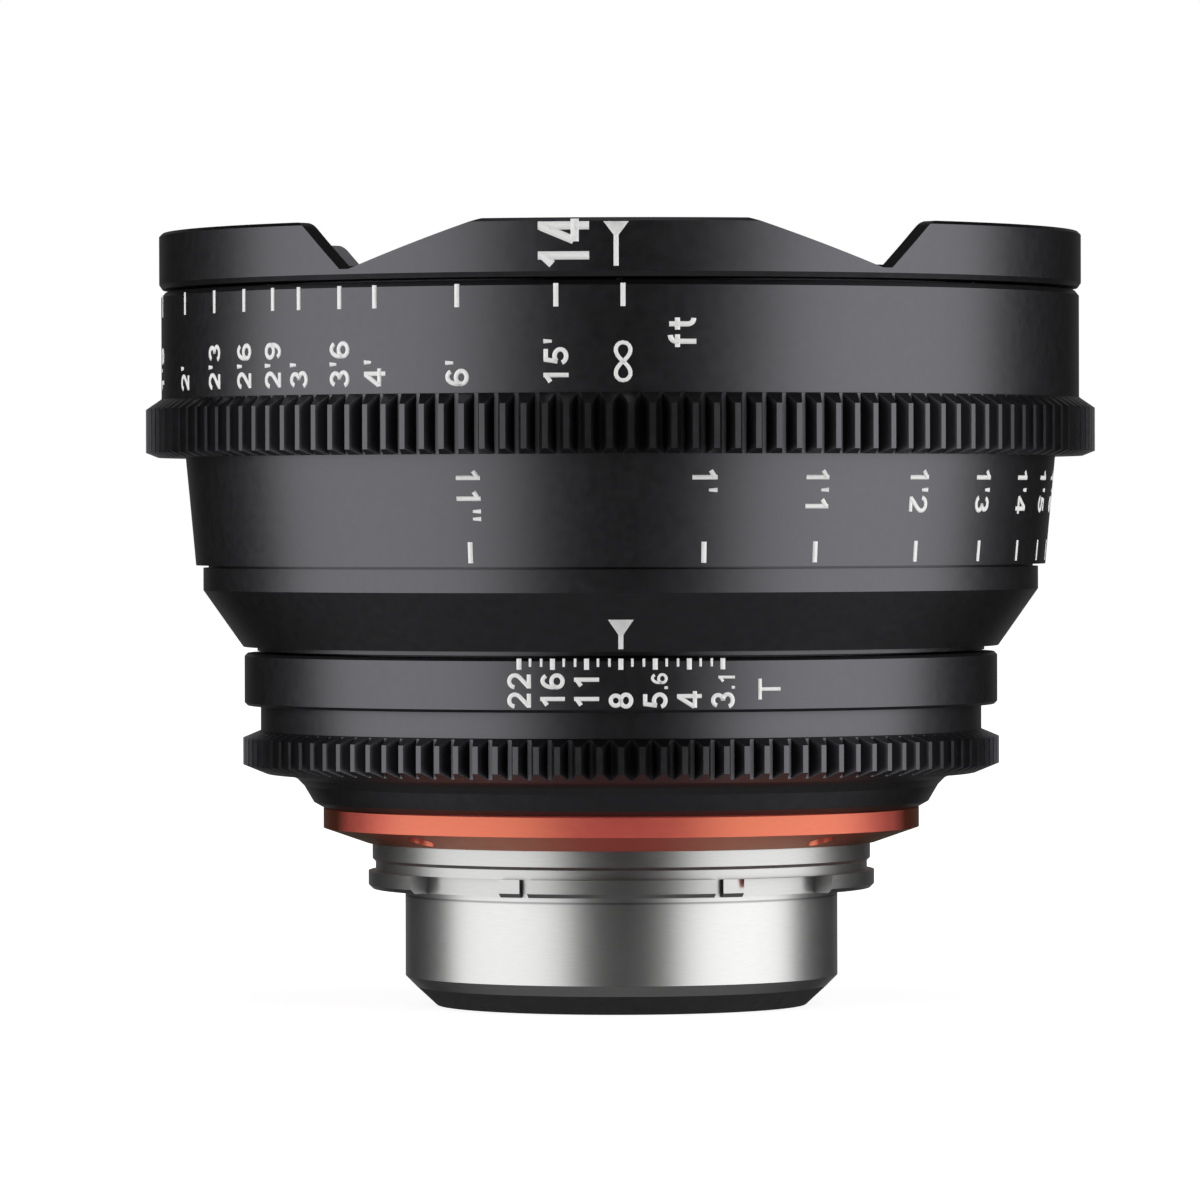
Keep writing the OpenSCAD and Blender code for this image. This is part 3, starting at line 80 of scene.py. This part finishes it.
# a noise of the scale "grain" moves the roughness, and the colour where two tones are given,
# and a noise of the scale "relief" makes a fine relief, its height in metres
def newFinish(name, look):
    mat = bpy.data.materials.new(name)
    mat.use_nodes = True
    tree = mat.node_tree
    shader = tree.nodes["Principled BSDF"]
    shader.inputs["Base Color"].default_value = (*look["colour"], 1)
    shader.inputs["Metallic"].default_value = look["metallic"]
    shader.inputs["Roughness"].default_value = look["roughness"]
    if "grain" in look:
        grain = objectNoise(tree, look["grain"], noise["grainDetail"])
        tree.links.new(addRange(tree, grain, noise["span"], look["rough"]), shader.inputs["Roughness"])
    if "tones" in look:   # always with a grain
        ramp = addNode(tree, "ValToRGB")
        for stop, position, tone in zip(ramp.color_ramp.elements, noise["span"], look["tones"]):
            stop.position = position
            stop.color = (*tone, 1)
        tree.links.new(grain, ramp.inputs["Fac"])
        tree.links.new(ramp.outputs["Color"], shader.inputs["Base Color"])
    if "relief" in look:
        bump = addNode(tree, "Bump", Strength=look["reliefStrength"], Distance=look["reliefHeight"])
        tree.links.new(objectNoise(tree, look["relief"], noise["reliefDetail"]), bump.inputs["Height"])
        tree.links.new(bump.outputs["Normal"], shader.inputs["Normal"])
    return mat, shader


# the base colour times a share that follows a value from 0 to 1; below, this paints shade into the colour
def shadeBase(tree, shader, value, shares):
    ramp = addNode(tree, "ValToRGB")
    stops = ramp.color_ramp.elements
    stops.remove(stops[1])
    (position, share), *others = shares
    stops[0].position = position
    stops[0].color = (share, share, share, 1)
    for position, share in others:
        stops.new(position).color = (share, share, share, 1)
    tree.links.new(value, ramp.inputs["Fac"])
    tint = addNode(tree, "Mix", data_type="RGBA", blend_type="MULTIPLY", Factor=1)
    tree.links.new(shader.inputs["Base Color"].links[0].from_socket, tint.inputs["A"])
    tree.links.new(ramp.outputs["Color"], tint.inputs["B"])
    tree.links.new(tint.outputs["Result"], shader.inputs["Base Color"])


satinBlack = {"colour": (0.080, 0.0795, 0.086), "metallic": 1, "roughness": 0.37,
              "grain": (900, 900, 900), "rough": (0.35, 0.39),
              "tones": ((0.080, 0.0795, 0.086), (0.087, 0.0865, 0.0935)),
              "relief": (9000, 9000, 9000), "reliefHeight": 0.00001, "reliefStrength": 0.06}
blackAnodised, shader = newFinish("blackAnodised", satinBlack)

flatBlack = {"colour": (0.010, 0.010, 0.010), "metallic": 0, "roughness": 0.64,
             "grain": (1200, 1200, 1200), "rough": (0.58, 0.70),
             "tones": ((0.010, 0.010, 0.010), (0.016, 0.016, 0.016)),
             "relief": (6000, 6000, 6000), "reliefHeight": 0.00002, "reliefStrength": 0.1}
mattBlack, shader = newFinish("mattBlack", flatBlack)

# the base colour is painted darker where the ring is seen aslant, a painted shade on its sides, and "lean"
# makes that painted shade less on the cone that faces down
redSatin = {"colour": (0.64, 0.100, 0.090), "metallic": 0.25, "roughness": 0.37,
            "grain": (700, 700, 2500), "rough": (0.34, 0.40),
            "tones": ((0.64, 0.100, 0.090), (0.68, 0.110, 0.098)),
            "specular": 1, "specularTint": (1, 0.9, 0.25, 1), "blend": 0.5, "lean": 0.2,
            "edges": ((0.42, 1), (0.60, 0.55), (0.70, 0.1))}
redAnodised, shader = newFinish("redAnodised", redSatin)
shader.inputs["Specular IOR Level"].default_value = redSatin["specular"]
shader.inputs["Specular Tint"].default_value = redSatin["specularTint"]
tree = redAnodised.node_tree
weight = addNode(tree, "LayerWeight", Blend=redSatin["blend"])
normal = addNode(tree, "NewGeometry")
split = addNode(tree, "SeparateXYZ")
lean = addNode(tree, "Math", operation="MULTIPLY_ADD")
lean.inputs[1].default_value = redSatin["lean"]
tree.links.new(normal.outputs["Normal"], split.inputs["Vector"])
tree.links.new(split.outputs["Z"], lean.inputs[0])
tree.links.new(weight.outputs["Facing"], lean.inputs[2])
# paints shade into the red: darker towards the sides, where the ring turns away from view
shadeBase(tree, shader, lean.outputs["Value"], redSatin["edges"])

# the bands are heights in mm, each with its share of the base colour: the half-dark band from -0.9 to
# -0.65 mm is a painted shadow line just under the wings, and the steel above 0.05 mm is darker
turnedSteel = {"colour": (0.44, 0.44, 0.437), "metallic": 1, "roughness": 0.35,
               "grain": (600, 600, 9000), "rough": (0.33, 0.37),
               "tones": ((0.44, 0.44, 0.437), (0.48, 0.48, 0.475)),
               "relief": (300, 300, 14000), "reliefHeight": 0.000008, "reliefStrength": 0.08,
               "span": (-15, 10),
               "bands": ((-1, 1), (-0.9, 0.5), (-0.75, 0.5), (-0.65, 1), (-0.1, 1), (0.05, 0.82))}
mountSteel, shader = newFinish("mountSteel", turnedSteel)
tree = mountSteel.node_tree
split = addNode(tree, "SeparateXYZ")
tree.links.new(objectPlace(tree, (1, 1, 1)), split.inputs["Vector"])
foot, top = turnedSteel["span"]
climb = addRange(tree, split.outputs["Z"], (foot * mm, top * mm), (0, 1))
# paints the shadow line under the wings into the steel's colour
shadeBase(tree, shader, climb, [((z - foot) / (top - foot), share) for z, share in turnedSteel["bands"]])

brightSteel = {"colour": (0.5, 0.5, 0.5), "metallic": 1, "roughness": 0.3,
               "grain": (2000, 2000, 2000), "rough": (0.26, 0.36)}
screwSteel, shader = newFinish("screwSteel", brightSteel)

warmBrass = {"colour": (0.72, 0.55, 0.25), "metallic": 1, "roughness": 0.32,
             "grain": (500, 500, 8000), "rough": (0.28, 0.38),
             "tones": ((0.68, 0.51, 0.22), (0.76, 0.58, 0.28))}
turnedBrass, shader = newFinish("turnedBrass", warmBrass)

outerGlass = {"colour": (0.97, 0.99, 0.985), "metallic": 0, "roughness": 0.0, "ior": 1.52,
              "filmThickness": 420, "filmIor": 1.38}
coatedGlass, shader = newFinish("coatedGlass", outerGlass)
shader.inputs["Transmission Weight"].default_value = 1
shader.inputs["IOR"].default_value = outerGlass["ior"]
shader.inputs["Thin Film Thickness"].default_value = outerGlass["filmThickness"]
shader.inputs["Thin Film IOR"].default_value = outerGlass["filmIor"]

# the inner elements let the iris show through, with a faint coloured reflection
innerGlass = {"colour": (0.985, 0.995, 0.99, 1), "coating": (0.55, 0.8, 0.6, 1), "roughness": 0.02,
              "ior": 1.22}
clearGlass = bpy.data.materials.new("clearGlass")
clearGlass.use_nodes = True
tree = clearGlass.node_tree
tree.nodes.remove(tree.nodes["Principled BSDF"])
clear = addNode(tree, "BsdfTransparent", Color=innerGlass["colour"])
coating = addNode(tree, "BsdfAnisotropic", Color=innerGlass["coating"], Roughness=innerGlass["roughness"])
glance = addNode(tree, "Fresnel", IOR=innerGlass["ior"])
both = addNode(tree, "MixShader")
tree.links.new(glance.outputs["Fac"], both.inputs["Fac"])
tree.links.new(clear.outputs["BSDF"], both.inputs[1])
tree.links.new(coating.outputs["BSDF"], both.inputs[2])
tree.links.new(both.outputs["Shader"], tree.nodes["Material Output"].inputs["Surface"])

whitePaint = {"colour": (0.84, 0.84, 0.83), "metallic": 0, "roughness": 0.55,
              "grain": (3000, 3000, 3000), "rough": (0.5, 0.6),
              "tones": ((0.82, 0.82, 0.81), (0.87, 0.87, 0.86))}
markPaint, shader = newFinish("markPaint", whitePaint)

finishes = {
    "black_anodised": blackAnodised, "matt_black": mattBlack, "red_anodised": redAnodised,
    "mount_steel": mountSteel, "screw_steel": screwSteel, "brass": turnedBrass,
    "coated_glass": coatedGlass, "mark_paint": markPaint,
}
for part in frame["record"]["subparts"]:
    mesh = frame["nodes"][part["node"]].data
    mesh.materials.clear()
    inner = part["node"].endswith("_element") and part["node"] not in ("front_element", "rear_element")
    mesh.materials.append(clearGlass if inner else finishes[part["material_slot"]])
print("finishes set:", len(finishes))


# numerals drawn as pen strokes, in shares of their height

# the paint reaches from "above" to "below" the surface, in mm, and a stroke of more points than
# "loopPoints" is a closed loop
pen = {"stroke": 0.18, "primeEnd": 0.11, "space": 0.125, "small": 0.68, "above": 0.02, "below": 0.05,
       "loopPoints": 28}
infinitySize = (1.50, 0.58)


def line(a, b, pieces=4):
    shares = [i / pieces for i in range(pieces + 1)]
    return [(a[0] + (b[0] - a[0]) * share, a[1] + (b[1] - a[1]) * share) for share in shares]


def arc(centre, radii, first, last):
    steps = max(4, round(abs(last - first) / 12))
    turns = [math.radians(first + (last - first) * i / steps) for i in range(steps + 1)]
    return [(centre[0] + radii[0] * math.cos(t), centre[1] + radii[1] * math.sin(t)) for t in turns]


def loop(centre, radii):
    return arc(centre, radii, 0, 345)


def halfTurned(strokes, width):
    return [[(width - x, 1 - y) for x, y in stroke] for stroke in strokes]


def lyingEight(width, height):
    turns = [math.radians(i * 10) for i in range(36)]
    swell = [1 + math.sin(t) ** 2 for t in turns]
    return [(width / 2 * (1 + math.cos(t) / s), height / 2 + height * 1.41 * math.sin(t) * math.cos(t) / s)
            for t, s in zip(turns, swell)]


# each has its width and its strokes
sixStrokes = [loop((0.35, 0.32), (0.255, 0.225)), arc((0.375, 0.5), (0.28, 0.405), 42, 205)]
numerals = {
    "1": (0.70, [line((0.42, 0), (0.42, 1)), line((0.42, 0.90), (0.15, 0.72))]),
    "2": (0.70, [arc((0.35, 0.67), (0.255, 0.235), 175, -35) + line((0.50, 0.46), (0.13, 0.13)),
                 line((0.045, 0.095), (0.64, 0.095))]),
    "3": (0.70, [arc((0.34, 0.70), (0.225, 0.205), 168, -95), arc((0.34, 0.295), (0.26, 0.2), 95, -168)]),
    "4": (0.76, [line((0.50, 0.94), (0.07, 0.30)), line((0.03, 0.28), (0.74, 0.28)),
                 line((0.53, 0), (0.53, 1))]),
    "5": (0.70, [line((0.16, 0.905), (0.62, 0.905)), line((0.21, 0.98), (0.13, 0.44)),
                 arc((0.34, 0.325), (0.265, 0.23), 140, -165)]),
    "6": (0.70, sixStrokes),
    "8": (0.70, [loop((0.35, 0.705), (0.215, 0.20)), loop((0.35, 0.30), (0.255, 0.205))]),
    "9": (0.70, halfTurned(sixStrokes, 0.70)),
    "'": (0.20, [line((0.10, 1.0), (0.10, 0.66), 1)]),
    '"': (0.50, [line((0.10, 1.0), (0.10, 0.66), 1), line((0.40, 1.0), (0.40, 0.66), 1)]),
    ".": (0.20, [line((0.10, 0), (0.10, 0.2), 1)]),
    "T": (0.86, [line((0, 0.92), (0.86, 0.92)), line((0.43, 0), (0.43, 0.98))]),
    "f": (0.48, [line((0.22, 0), (0.22, 0.68)) + arc((0.43, 0.70), (0.21, 0.21), 172, 88),
                 line((0.02, 0.66), (0.46, 0.66))]),
    "t": (0.46, [line((0.22, 0.95), (0.22, 0.30)) + arc((0.42, 0.29), (0.20, 0.20), 188, 272),
                 line((0.02, 0.66), (0.44, 0.66))]),
    "infinity": (infinitySize[0], [lyingEight(*infinitySize)]),
}


def addStroke(drawing, points, width, endWidth=None, closed=False):
    spline = drawing.splines.new("POLY")
    spline.points.add(len(points) - 1)
    spline.use_cyclic_u = closed
    for i, (x, y) in enumerate(points):
        spline.points[i].co = (x * mm, y * mm, 0, 1)
        share = i / (len(points) - 1)
        spline.points[i].radius = width + ((endWidth or width) - width) * share


def addTick(drawing, x, ends, width):
    addStroke(drawing, [(x, ends[0]), (x, ends[1])], width)


# an index that narrows from a wide end to a stem, at the three heights of its funnel
def addIndex(drawing, x, look):
    wideEnd, neck, stemEnd = look["funnel"]
    addStroke(drawing, [(x, wideEnd), (x, neck)], look["wide"], look["stem"])
    addStroke(drawing, [(x, neck), (x, stemEnd)], look["stem"])


# a label along the axis: way 1 reads towards the front, -1 towards the mount
def addLabel(drawing, text, x, z, height, way=1, small="", narrow=1, stroke=pen["stroke"]):
    reach = 0
    for char, size in [(c, height) for c in text] + [(c, height * pen["small"]) for c in small]:
        width, lines = numerals[char]
        middle = infinitySize[1] / 2 if char == "infinity" else 0.5
        endWidth = pen["primeEnd"] * size if char in "'\"" else None
        for points in lines:
            placed = [(x - way * (b * size - middle * height), z + way * (reach + a * size * narrow))
                      for a, b in points]
            addStroke(drawing, placed, stroke * size, endWidth, len(points) > pen["loopPoints"])
        reach += (width + pen["space"]) * size * narrow


# the pen's tip, 1 mm wide, so a stroke's radius is its width in mm
tipCorners = ((-0.5, -0.05), (0.5, -0.05), (0.5, 0.05), (-0.5, 0.05))
tipCurve = bpy.data.curves.new("penTip", "CURVE")
tipCurve.dimensions = "2D"
tip = tipCurve.splines.new("POLY")
tip.points.add(len(tipCorners) - 1)
tip.use_cyclic_u = True
for point, (x, y) in zip(tip.points, tipCorners):
    point.co = (x * mm, y * mm, 0, 1)
penTip = bpy.data.objects.new("penTip", tipCurve)
bpy.context.collection.objects.link(penTip)


def newDrawing(name):
    drawing = bpy.data.curves.new(name, "CURVE")
    drawing.dimensions = "3D"
    drawing.twist_mode = "Z_UP"
    drawing.bevel_mode = "OBJECT"
    drawing.bevel_object = penTip
    drawing.use_fill_caps = True
    return drawing


# the flat drawing becomes a mesh and goes round the ring, whose radius is given at two heights
def wrapDrawing(drawing, ring, body):
    obj = bpy.data.objects.new(drawing.name, drawing)
    bpy.context.collection.objects.link(obj)
    bpy.ops.object.select_all(action="DESELECT")
    obj.select_set(True)
    bpy.context.view_layer.objects.active = obj
    bpy.ops.object.convert(target="MESH")
    obj = bpy.context.view_layer.objects.active
    footR, footZ = ring["foot"]
    topR, topZ = ring["top"]
    slope = (topR - footR) / (topZ - footZ)
    for v in obj.data.vertices:
        lift = pen["above"] if v.co.z > 0 else -pen["below"]
        r = (footR + lift) * mm + (v.co.y - footZ * mm) * slope
        turn = v.co.x / (footR * mm)
        v.co = (r * math.sin(turn), -r * math.cos(turn), v.co.y)
    bpy.ops.object.mode_set(mode="EDIT")
    bpy.ops.mesh.select_all(action="SELECT")
    bpy.ops.mesh.normals_make_consistent(inside=False)
    bpy.ops.object.mode_set(mode="OBJECT")
    obj.data.materials.clear()
    obj.data.materials.append(markPaint)
    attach(obj, body)


# marks, with heights and widths in mm and angles in degrees round the ring from the index in front

# the length of a degree in a ring's flat drawing
def degreeOn(ring):
    return ring["foot"][0] * math.pi / 180


distances = [
    ("15'", 7.6), ("6'", 19.7), ("4'", 30.65), ("3'6", 35.75), ("3'", 42.2), ("2'9", 46.75), ("2'6", 52.4),
    ("2'3", 59.3), ("2'", 68.4), ("1'9", 82), ("1'6", 97), ("1'5", 105.2), ("1'4", 114.4), ("1'3", 125.4),
    ("1'2", 138.3), ("1'1", 154.2), ("1'", 169.3), ('11"', 199.6),
]


# a distance scale of the focus ring, from the angle where it starts
def drawDistances(drawing, ring):
    degree = degreeOn(ring)
    for text, angle in distances:
        x = (ring["start"] - angle) * degree
        addTick(drawing, x, ring["tick"], ring["tickWidth"])
        addLabel(drawing, text, x, ring["label"], ring["height"], ring["way"])
    farX = ring["far"] * degree
    addTick(drawing, farX, ring["tick"], ring["tickWidth"])
    addLabel(drawing, ["infinity"], farX, ring["farLabel"], ring["height"], ring["way"],
             stroke=ring["farStroke"])
    addLabel(drawing, "ft", ring["unit"] * degree, ring["unitLabel"], ring["unitHeight"], ring["way"])
    wrapDrawing(drawing, ring, "focus_ring")


sleeve = {"foot": (57.25, 61), "top": (57.25, 74), "start": 0, "way": 1,
          "tick": (71.1, 73.85), "tickWidth": 0.6, "label": 61.75, "height": 3.0,
          "far": 0.35, "farLabel": 62.35, "farStroke": 0.16,
          "unit": 7.33, "unitLabel": 66.2, "unitHeight": 3.4}
drawDistances(newDrawing("sleeveScale"), sleeve)

taper = {"foot": (53, 40.35), "top": (54.25, 53.75), "start": 180, "way": -1,
         "tick": (40.8, 43.3), "tickWidth": 0.6, "label": 52.2, "height": 3.0,
         "far": 180, "farLabel": 51.9, "farStroke": 0.16,
         "unit": 188, "unitLabel": 50.5, "unitHeight": 3.4}
drawDistances(newDrawing("taperScale"), taper)

iris = {"foot": (47, 23), "top": (47, 29), "step": 5, "atIndex": 3,
        "tick": (28.05, 29.38), "tickWidth": 0.6, "minor": (28.4, 29.38), "minorWidth": 0.3,
        "label": 23.4, "height": 3.0, "narrow": 0.93, "stroke": 0.17,
        "unit": 22.2, "unitLabel": 24.4, "unitHeight": 2.9, "unitStroke": 0.15}
stops = [("22", ""), ("16", ""), ("11", ""), ("8", ""), ("5", ".6"), ("4", ""), ("3", ".1")]
scale = newDrawing("irisScale")
degree = degreeOn(iris)
for number, (text, small) in enumerate(stops):
    angle = (number - iris["atIndex"]) * iris["step"]
    x = angle * degree
    addTick(scale, x, iris["tick"], iris["tickWidth"])
    addLabel(scale, text, x, iris["label"], iris["height"], 1, small, iris["narrow"], iris["stroke"])
    for third in (1, 2) if number < len(stops) - 1 else ():
        addTick(scale, (angle + third * iris["step"] / 3) * degree, iris["minor"], iris["minorWidth"])
addLabel(scale, "T", iris["unit"] * degree, iris["unitLabel"], iris["unitHeight"],
         stroke=iris["unitStroke"])
wrapDrawing(scale, iris, "iris_ring")

# the focal length and the focus index
hood = {"foot": (57.5, 75), "top": (57.5, 81),
        "labelAngle": -6.65, "label": 75.5, "height": 6.1, "narrow": 0.62, "stroke": 0.16,
        "index": -0.44, "funnel": (81.1, 79.5, 75.85), "wide": 3.0, "stem": 0.6}
scale = newDrawing("hoodMarks")
degree = degreeOn(hood)
addLabel(scale, "14", hood["labelAngle"] * degree, hood["label"], hood["height"], narrow=hood["narrow"],
         stroke=hood["stroke"])
addIndex(scale, hood["index"] * degree, hood)
wrapDrawing(scale, hood, "barrel")

cone = {"foot": (47.15, 30.2), "top": (52.1, 37.25),
        "funnel": (34.05, 32.25, 30.5), "wide": 2.9, "stem": 0.6}
scale = newDrawing("irisIndex")
addIndex(scale, 0, cone)
wrapDrawing(scale, cone, "barrel")

# at the back
band = {"foot": (52.1, 37), "top": (52.1, 40),
        "funnel": (37.6, 39.2, 39.9), "wide": 2.4, "stem": 0.6}
scale = newDrawing("taperIndex")
addIndex(scale, math.pi * band["foot"][0], band)
wrapDrawing(scale, band, "barrel")
bpy.data.objects.remove(penTip)
print("marks drawn")


# studio, in metres

studio = {"distance": 0.7, "low": -0.45, "split": 0.03, "high": 0.6, "rearLow": -0.25,
          "leftRadiance": 1.98, "rightRadiance": 2.2, "rearRadiance": 0.15}


# a soft panel that faces the lens and fills the view from one azimuth to another
def addPanel(name, first, last, foot, top, radiance):
    turn = math.radians((first + last) / 2)
    width = 2 * studio["distance"] * math.tan(math.radians((last - first) / 2))
    height = top - foot
    place = (studio["distance"] * math.sin(turn), -studio["distance"] * math.cos(turn), (foot + top) / 2)
    bpy.ops.object.light_add(type="AREA", location=place, rotation=(math.radians(90), 0, turn))
    panel = bpy.context.active_object
    panel.name = name
    panel.data.shape = "RECTANGLE"
    panel.data.size = width
    panel.data.size_y = height
    panel.data.energy = radiance * math.pi * width * height
    panel.visible_camera = False


addPanel("leftPanel", -100.3, -33.5, studio["split"], studio["high"], studio["leftRadiance"])
addPanel("leftLowPanel", -100.3, -25.5, studio["low"], studio["split"], studio["leftRadiance"])
addPanel("rightPanel", 37.5, 100.7, studio["split"], studio["high"], studio["rightRadiance"])
addPanel("rightLowPanel", 28, 100.7, studio["low"], studio["split"], studio["rightRadiance"])
addPanel("rearPanel", 155, 205, studio["rearLow"], studio["high"], studio["rearRadiance"])
overhead = {"height": 1.0, "size": 0.5, "radiance": 0.6}
bpy.ops.object.light_add(type="AREA", location=(0, 0, overhead["height"]))
panel = bpy.context.active_object
panel.name = "overheadPanel"
panel.data.size = overhead["size"]
panel.data.energy = overhead["radiance"] * math.pi * overhead["size"] ** 2
panel.visible_camera = False

# white where the camera sees it, dim below the lens, dark elsewhere in the metal, and a fill from above
# on matt surfaces: spans of the direction's height, and the strengths at their ends
surroundings = {"below": (-0.8, -0.5), "belowStrength": (0.14, 0.005),
                "above": (-0.3, 0.3), "aboveStrength": (0, 0.3)}
white = (1, 1, 1, 1)
world = bpy.data.worlds.new("studio")
bpy.context.scene.world = world
world.use_nodes = True
tree = world.node_tree
backdrop = tree.nodes["Background"]
backdrop.inputs["Color"].default_value = white
surround = addNode(tree, "Background", Color=white)
place = addNode(tree, "TexCoord")
split = addNode(tree, "SeparateXYZ")
tree.links.new(place.outputs["Generated"], split.inputs["Vector"])
below = addRange(tree, split.outputs["Z"], surroundings["below"], surroundings["belowStrength"])
above = addRange(tree, split.outputs["Z"], surroundings["above"], surroundings["aboveStrength"])
rays = addNode(tree, "LightPath")
matt = addNode(tree, "Math", operation="MULTIPLY_ADD")
tree.links.new(rays.outputs["Is Diffuse Ray"], matt.inputs[0])
tree.links.new(above, matt.inputs[1])
tree.links.new(below, matt.inputs[2])
tree.links.new(matt.outputs["Value"], surround.inputs["Strength"])
seen = addNode(tree, "Math", operation="MAXIMUM")
tree.links.new(rays.outputs["Is Camera Ray"], seen.inputs[0])
tree.links.new(rays.outputs["Is Transmission Ray"], seen.inputs[1])
mix = addNode(tree, "MixShader")
tree.links.new(seen.outputs["Value"], mix.inputs["Fac"])
tree.links.new(surround.outputs["Background"], mix.inputs[1])
tree.links.new(backdrop.outputs["Background"], mix.inputs[2])
tree.links.new(mix.outputs["Shader"], tree.nodes["World Output"].inputs["Surface"])

# the lamps' shadow shows near the lens, where the floor's glow is weaker, a painted darkening round the
# lens's foot, and the rest is white
ground = {"size": 6, "height": -14.6, "colour": (0.5, 0.5, 0.5, 1),
          "fade": (0.06, 0.35), "glow": (0.80, 1.0)}
bpy.ops.mesh.primitive_plane_add(size=ground["size"], location=(0, 0, ground["height"] * mm))
floor = bpy.context.active_object
floor.name = "floor"
bpy.ops.object.transform_apply(location=True, rotation=True, scale=True)
floorFinish = bpy.data.materials.new("paleFloor")
floorFinish.use_nodes = True
tree = floorFinish.node_tree
tree.nodes.remove(tree.nodes["Principled BSDF"])
matt = addNode(tree, "BsdfDiffuse", Color=ground["colour"])
glow = addNode(tree, "Emission")
place = addNode(tree, "TexCoord")
away = addNode(tree, "VectorMath", operation="LENGTH")
tree.links.new(place.outputs["Object"], away.inputs[0])
# the glow is weaker near the lens, which paints shade on the floor round its foot
fade = addRange(tree, away.outputs["Value"], ground["fade"], ground["glow"])
tree.links.new(fade, glow.inputs["Strength"])
both = addNode(tree, "AddShader")
tree.links.new(matt.outputs["BSDF"], both.inputs[0])
tree.links.new(glow.outputs["Emission"], both.inputs[1])
tree.links.new(both.outputs["Shader"], tree.nodes["Material Output"].inputs["Surface"])
floor.data.materials.append(floorFinish)
floor.visible_diffuse = False
floor.visible_glossy = False
floor.visible_shadow = False

view = {"distance": 1.0, "height": 0.0465, "lens": 240, "sensor": 36, "near": 0.01,
        "down": 0.609, "left": 0.147, "roll": 0.139}
bpy.ops.object.camera_add(location=(0, -view["distance"], view["height"]),
                          rotation=(math.radians(90 - view["down"]), math.radians(view["roll"]),
                                    math.radians(view["left"])))
camera = bpy.context.active_object
camera.data.lens = view["lens"]
camera.data.sensor_width = view["sensor"]
camera.data.clip_start = view["near"]
bpy.context.scene.camera = camera
bpy.context.scene.view_settings.view_transform = "Standard"
bpy.context.scene.cycles.transparent_max_bounces = 40   # enough for the faces of all inner elements
print("studio set")
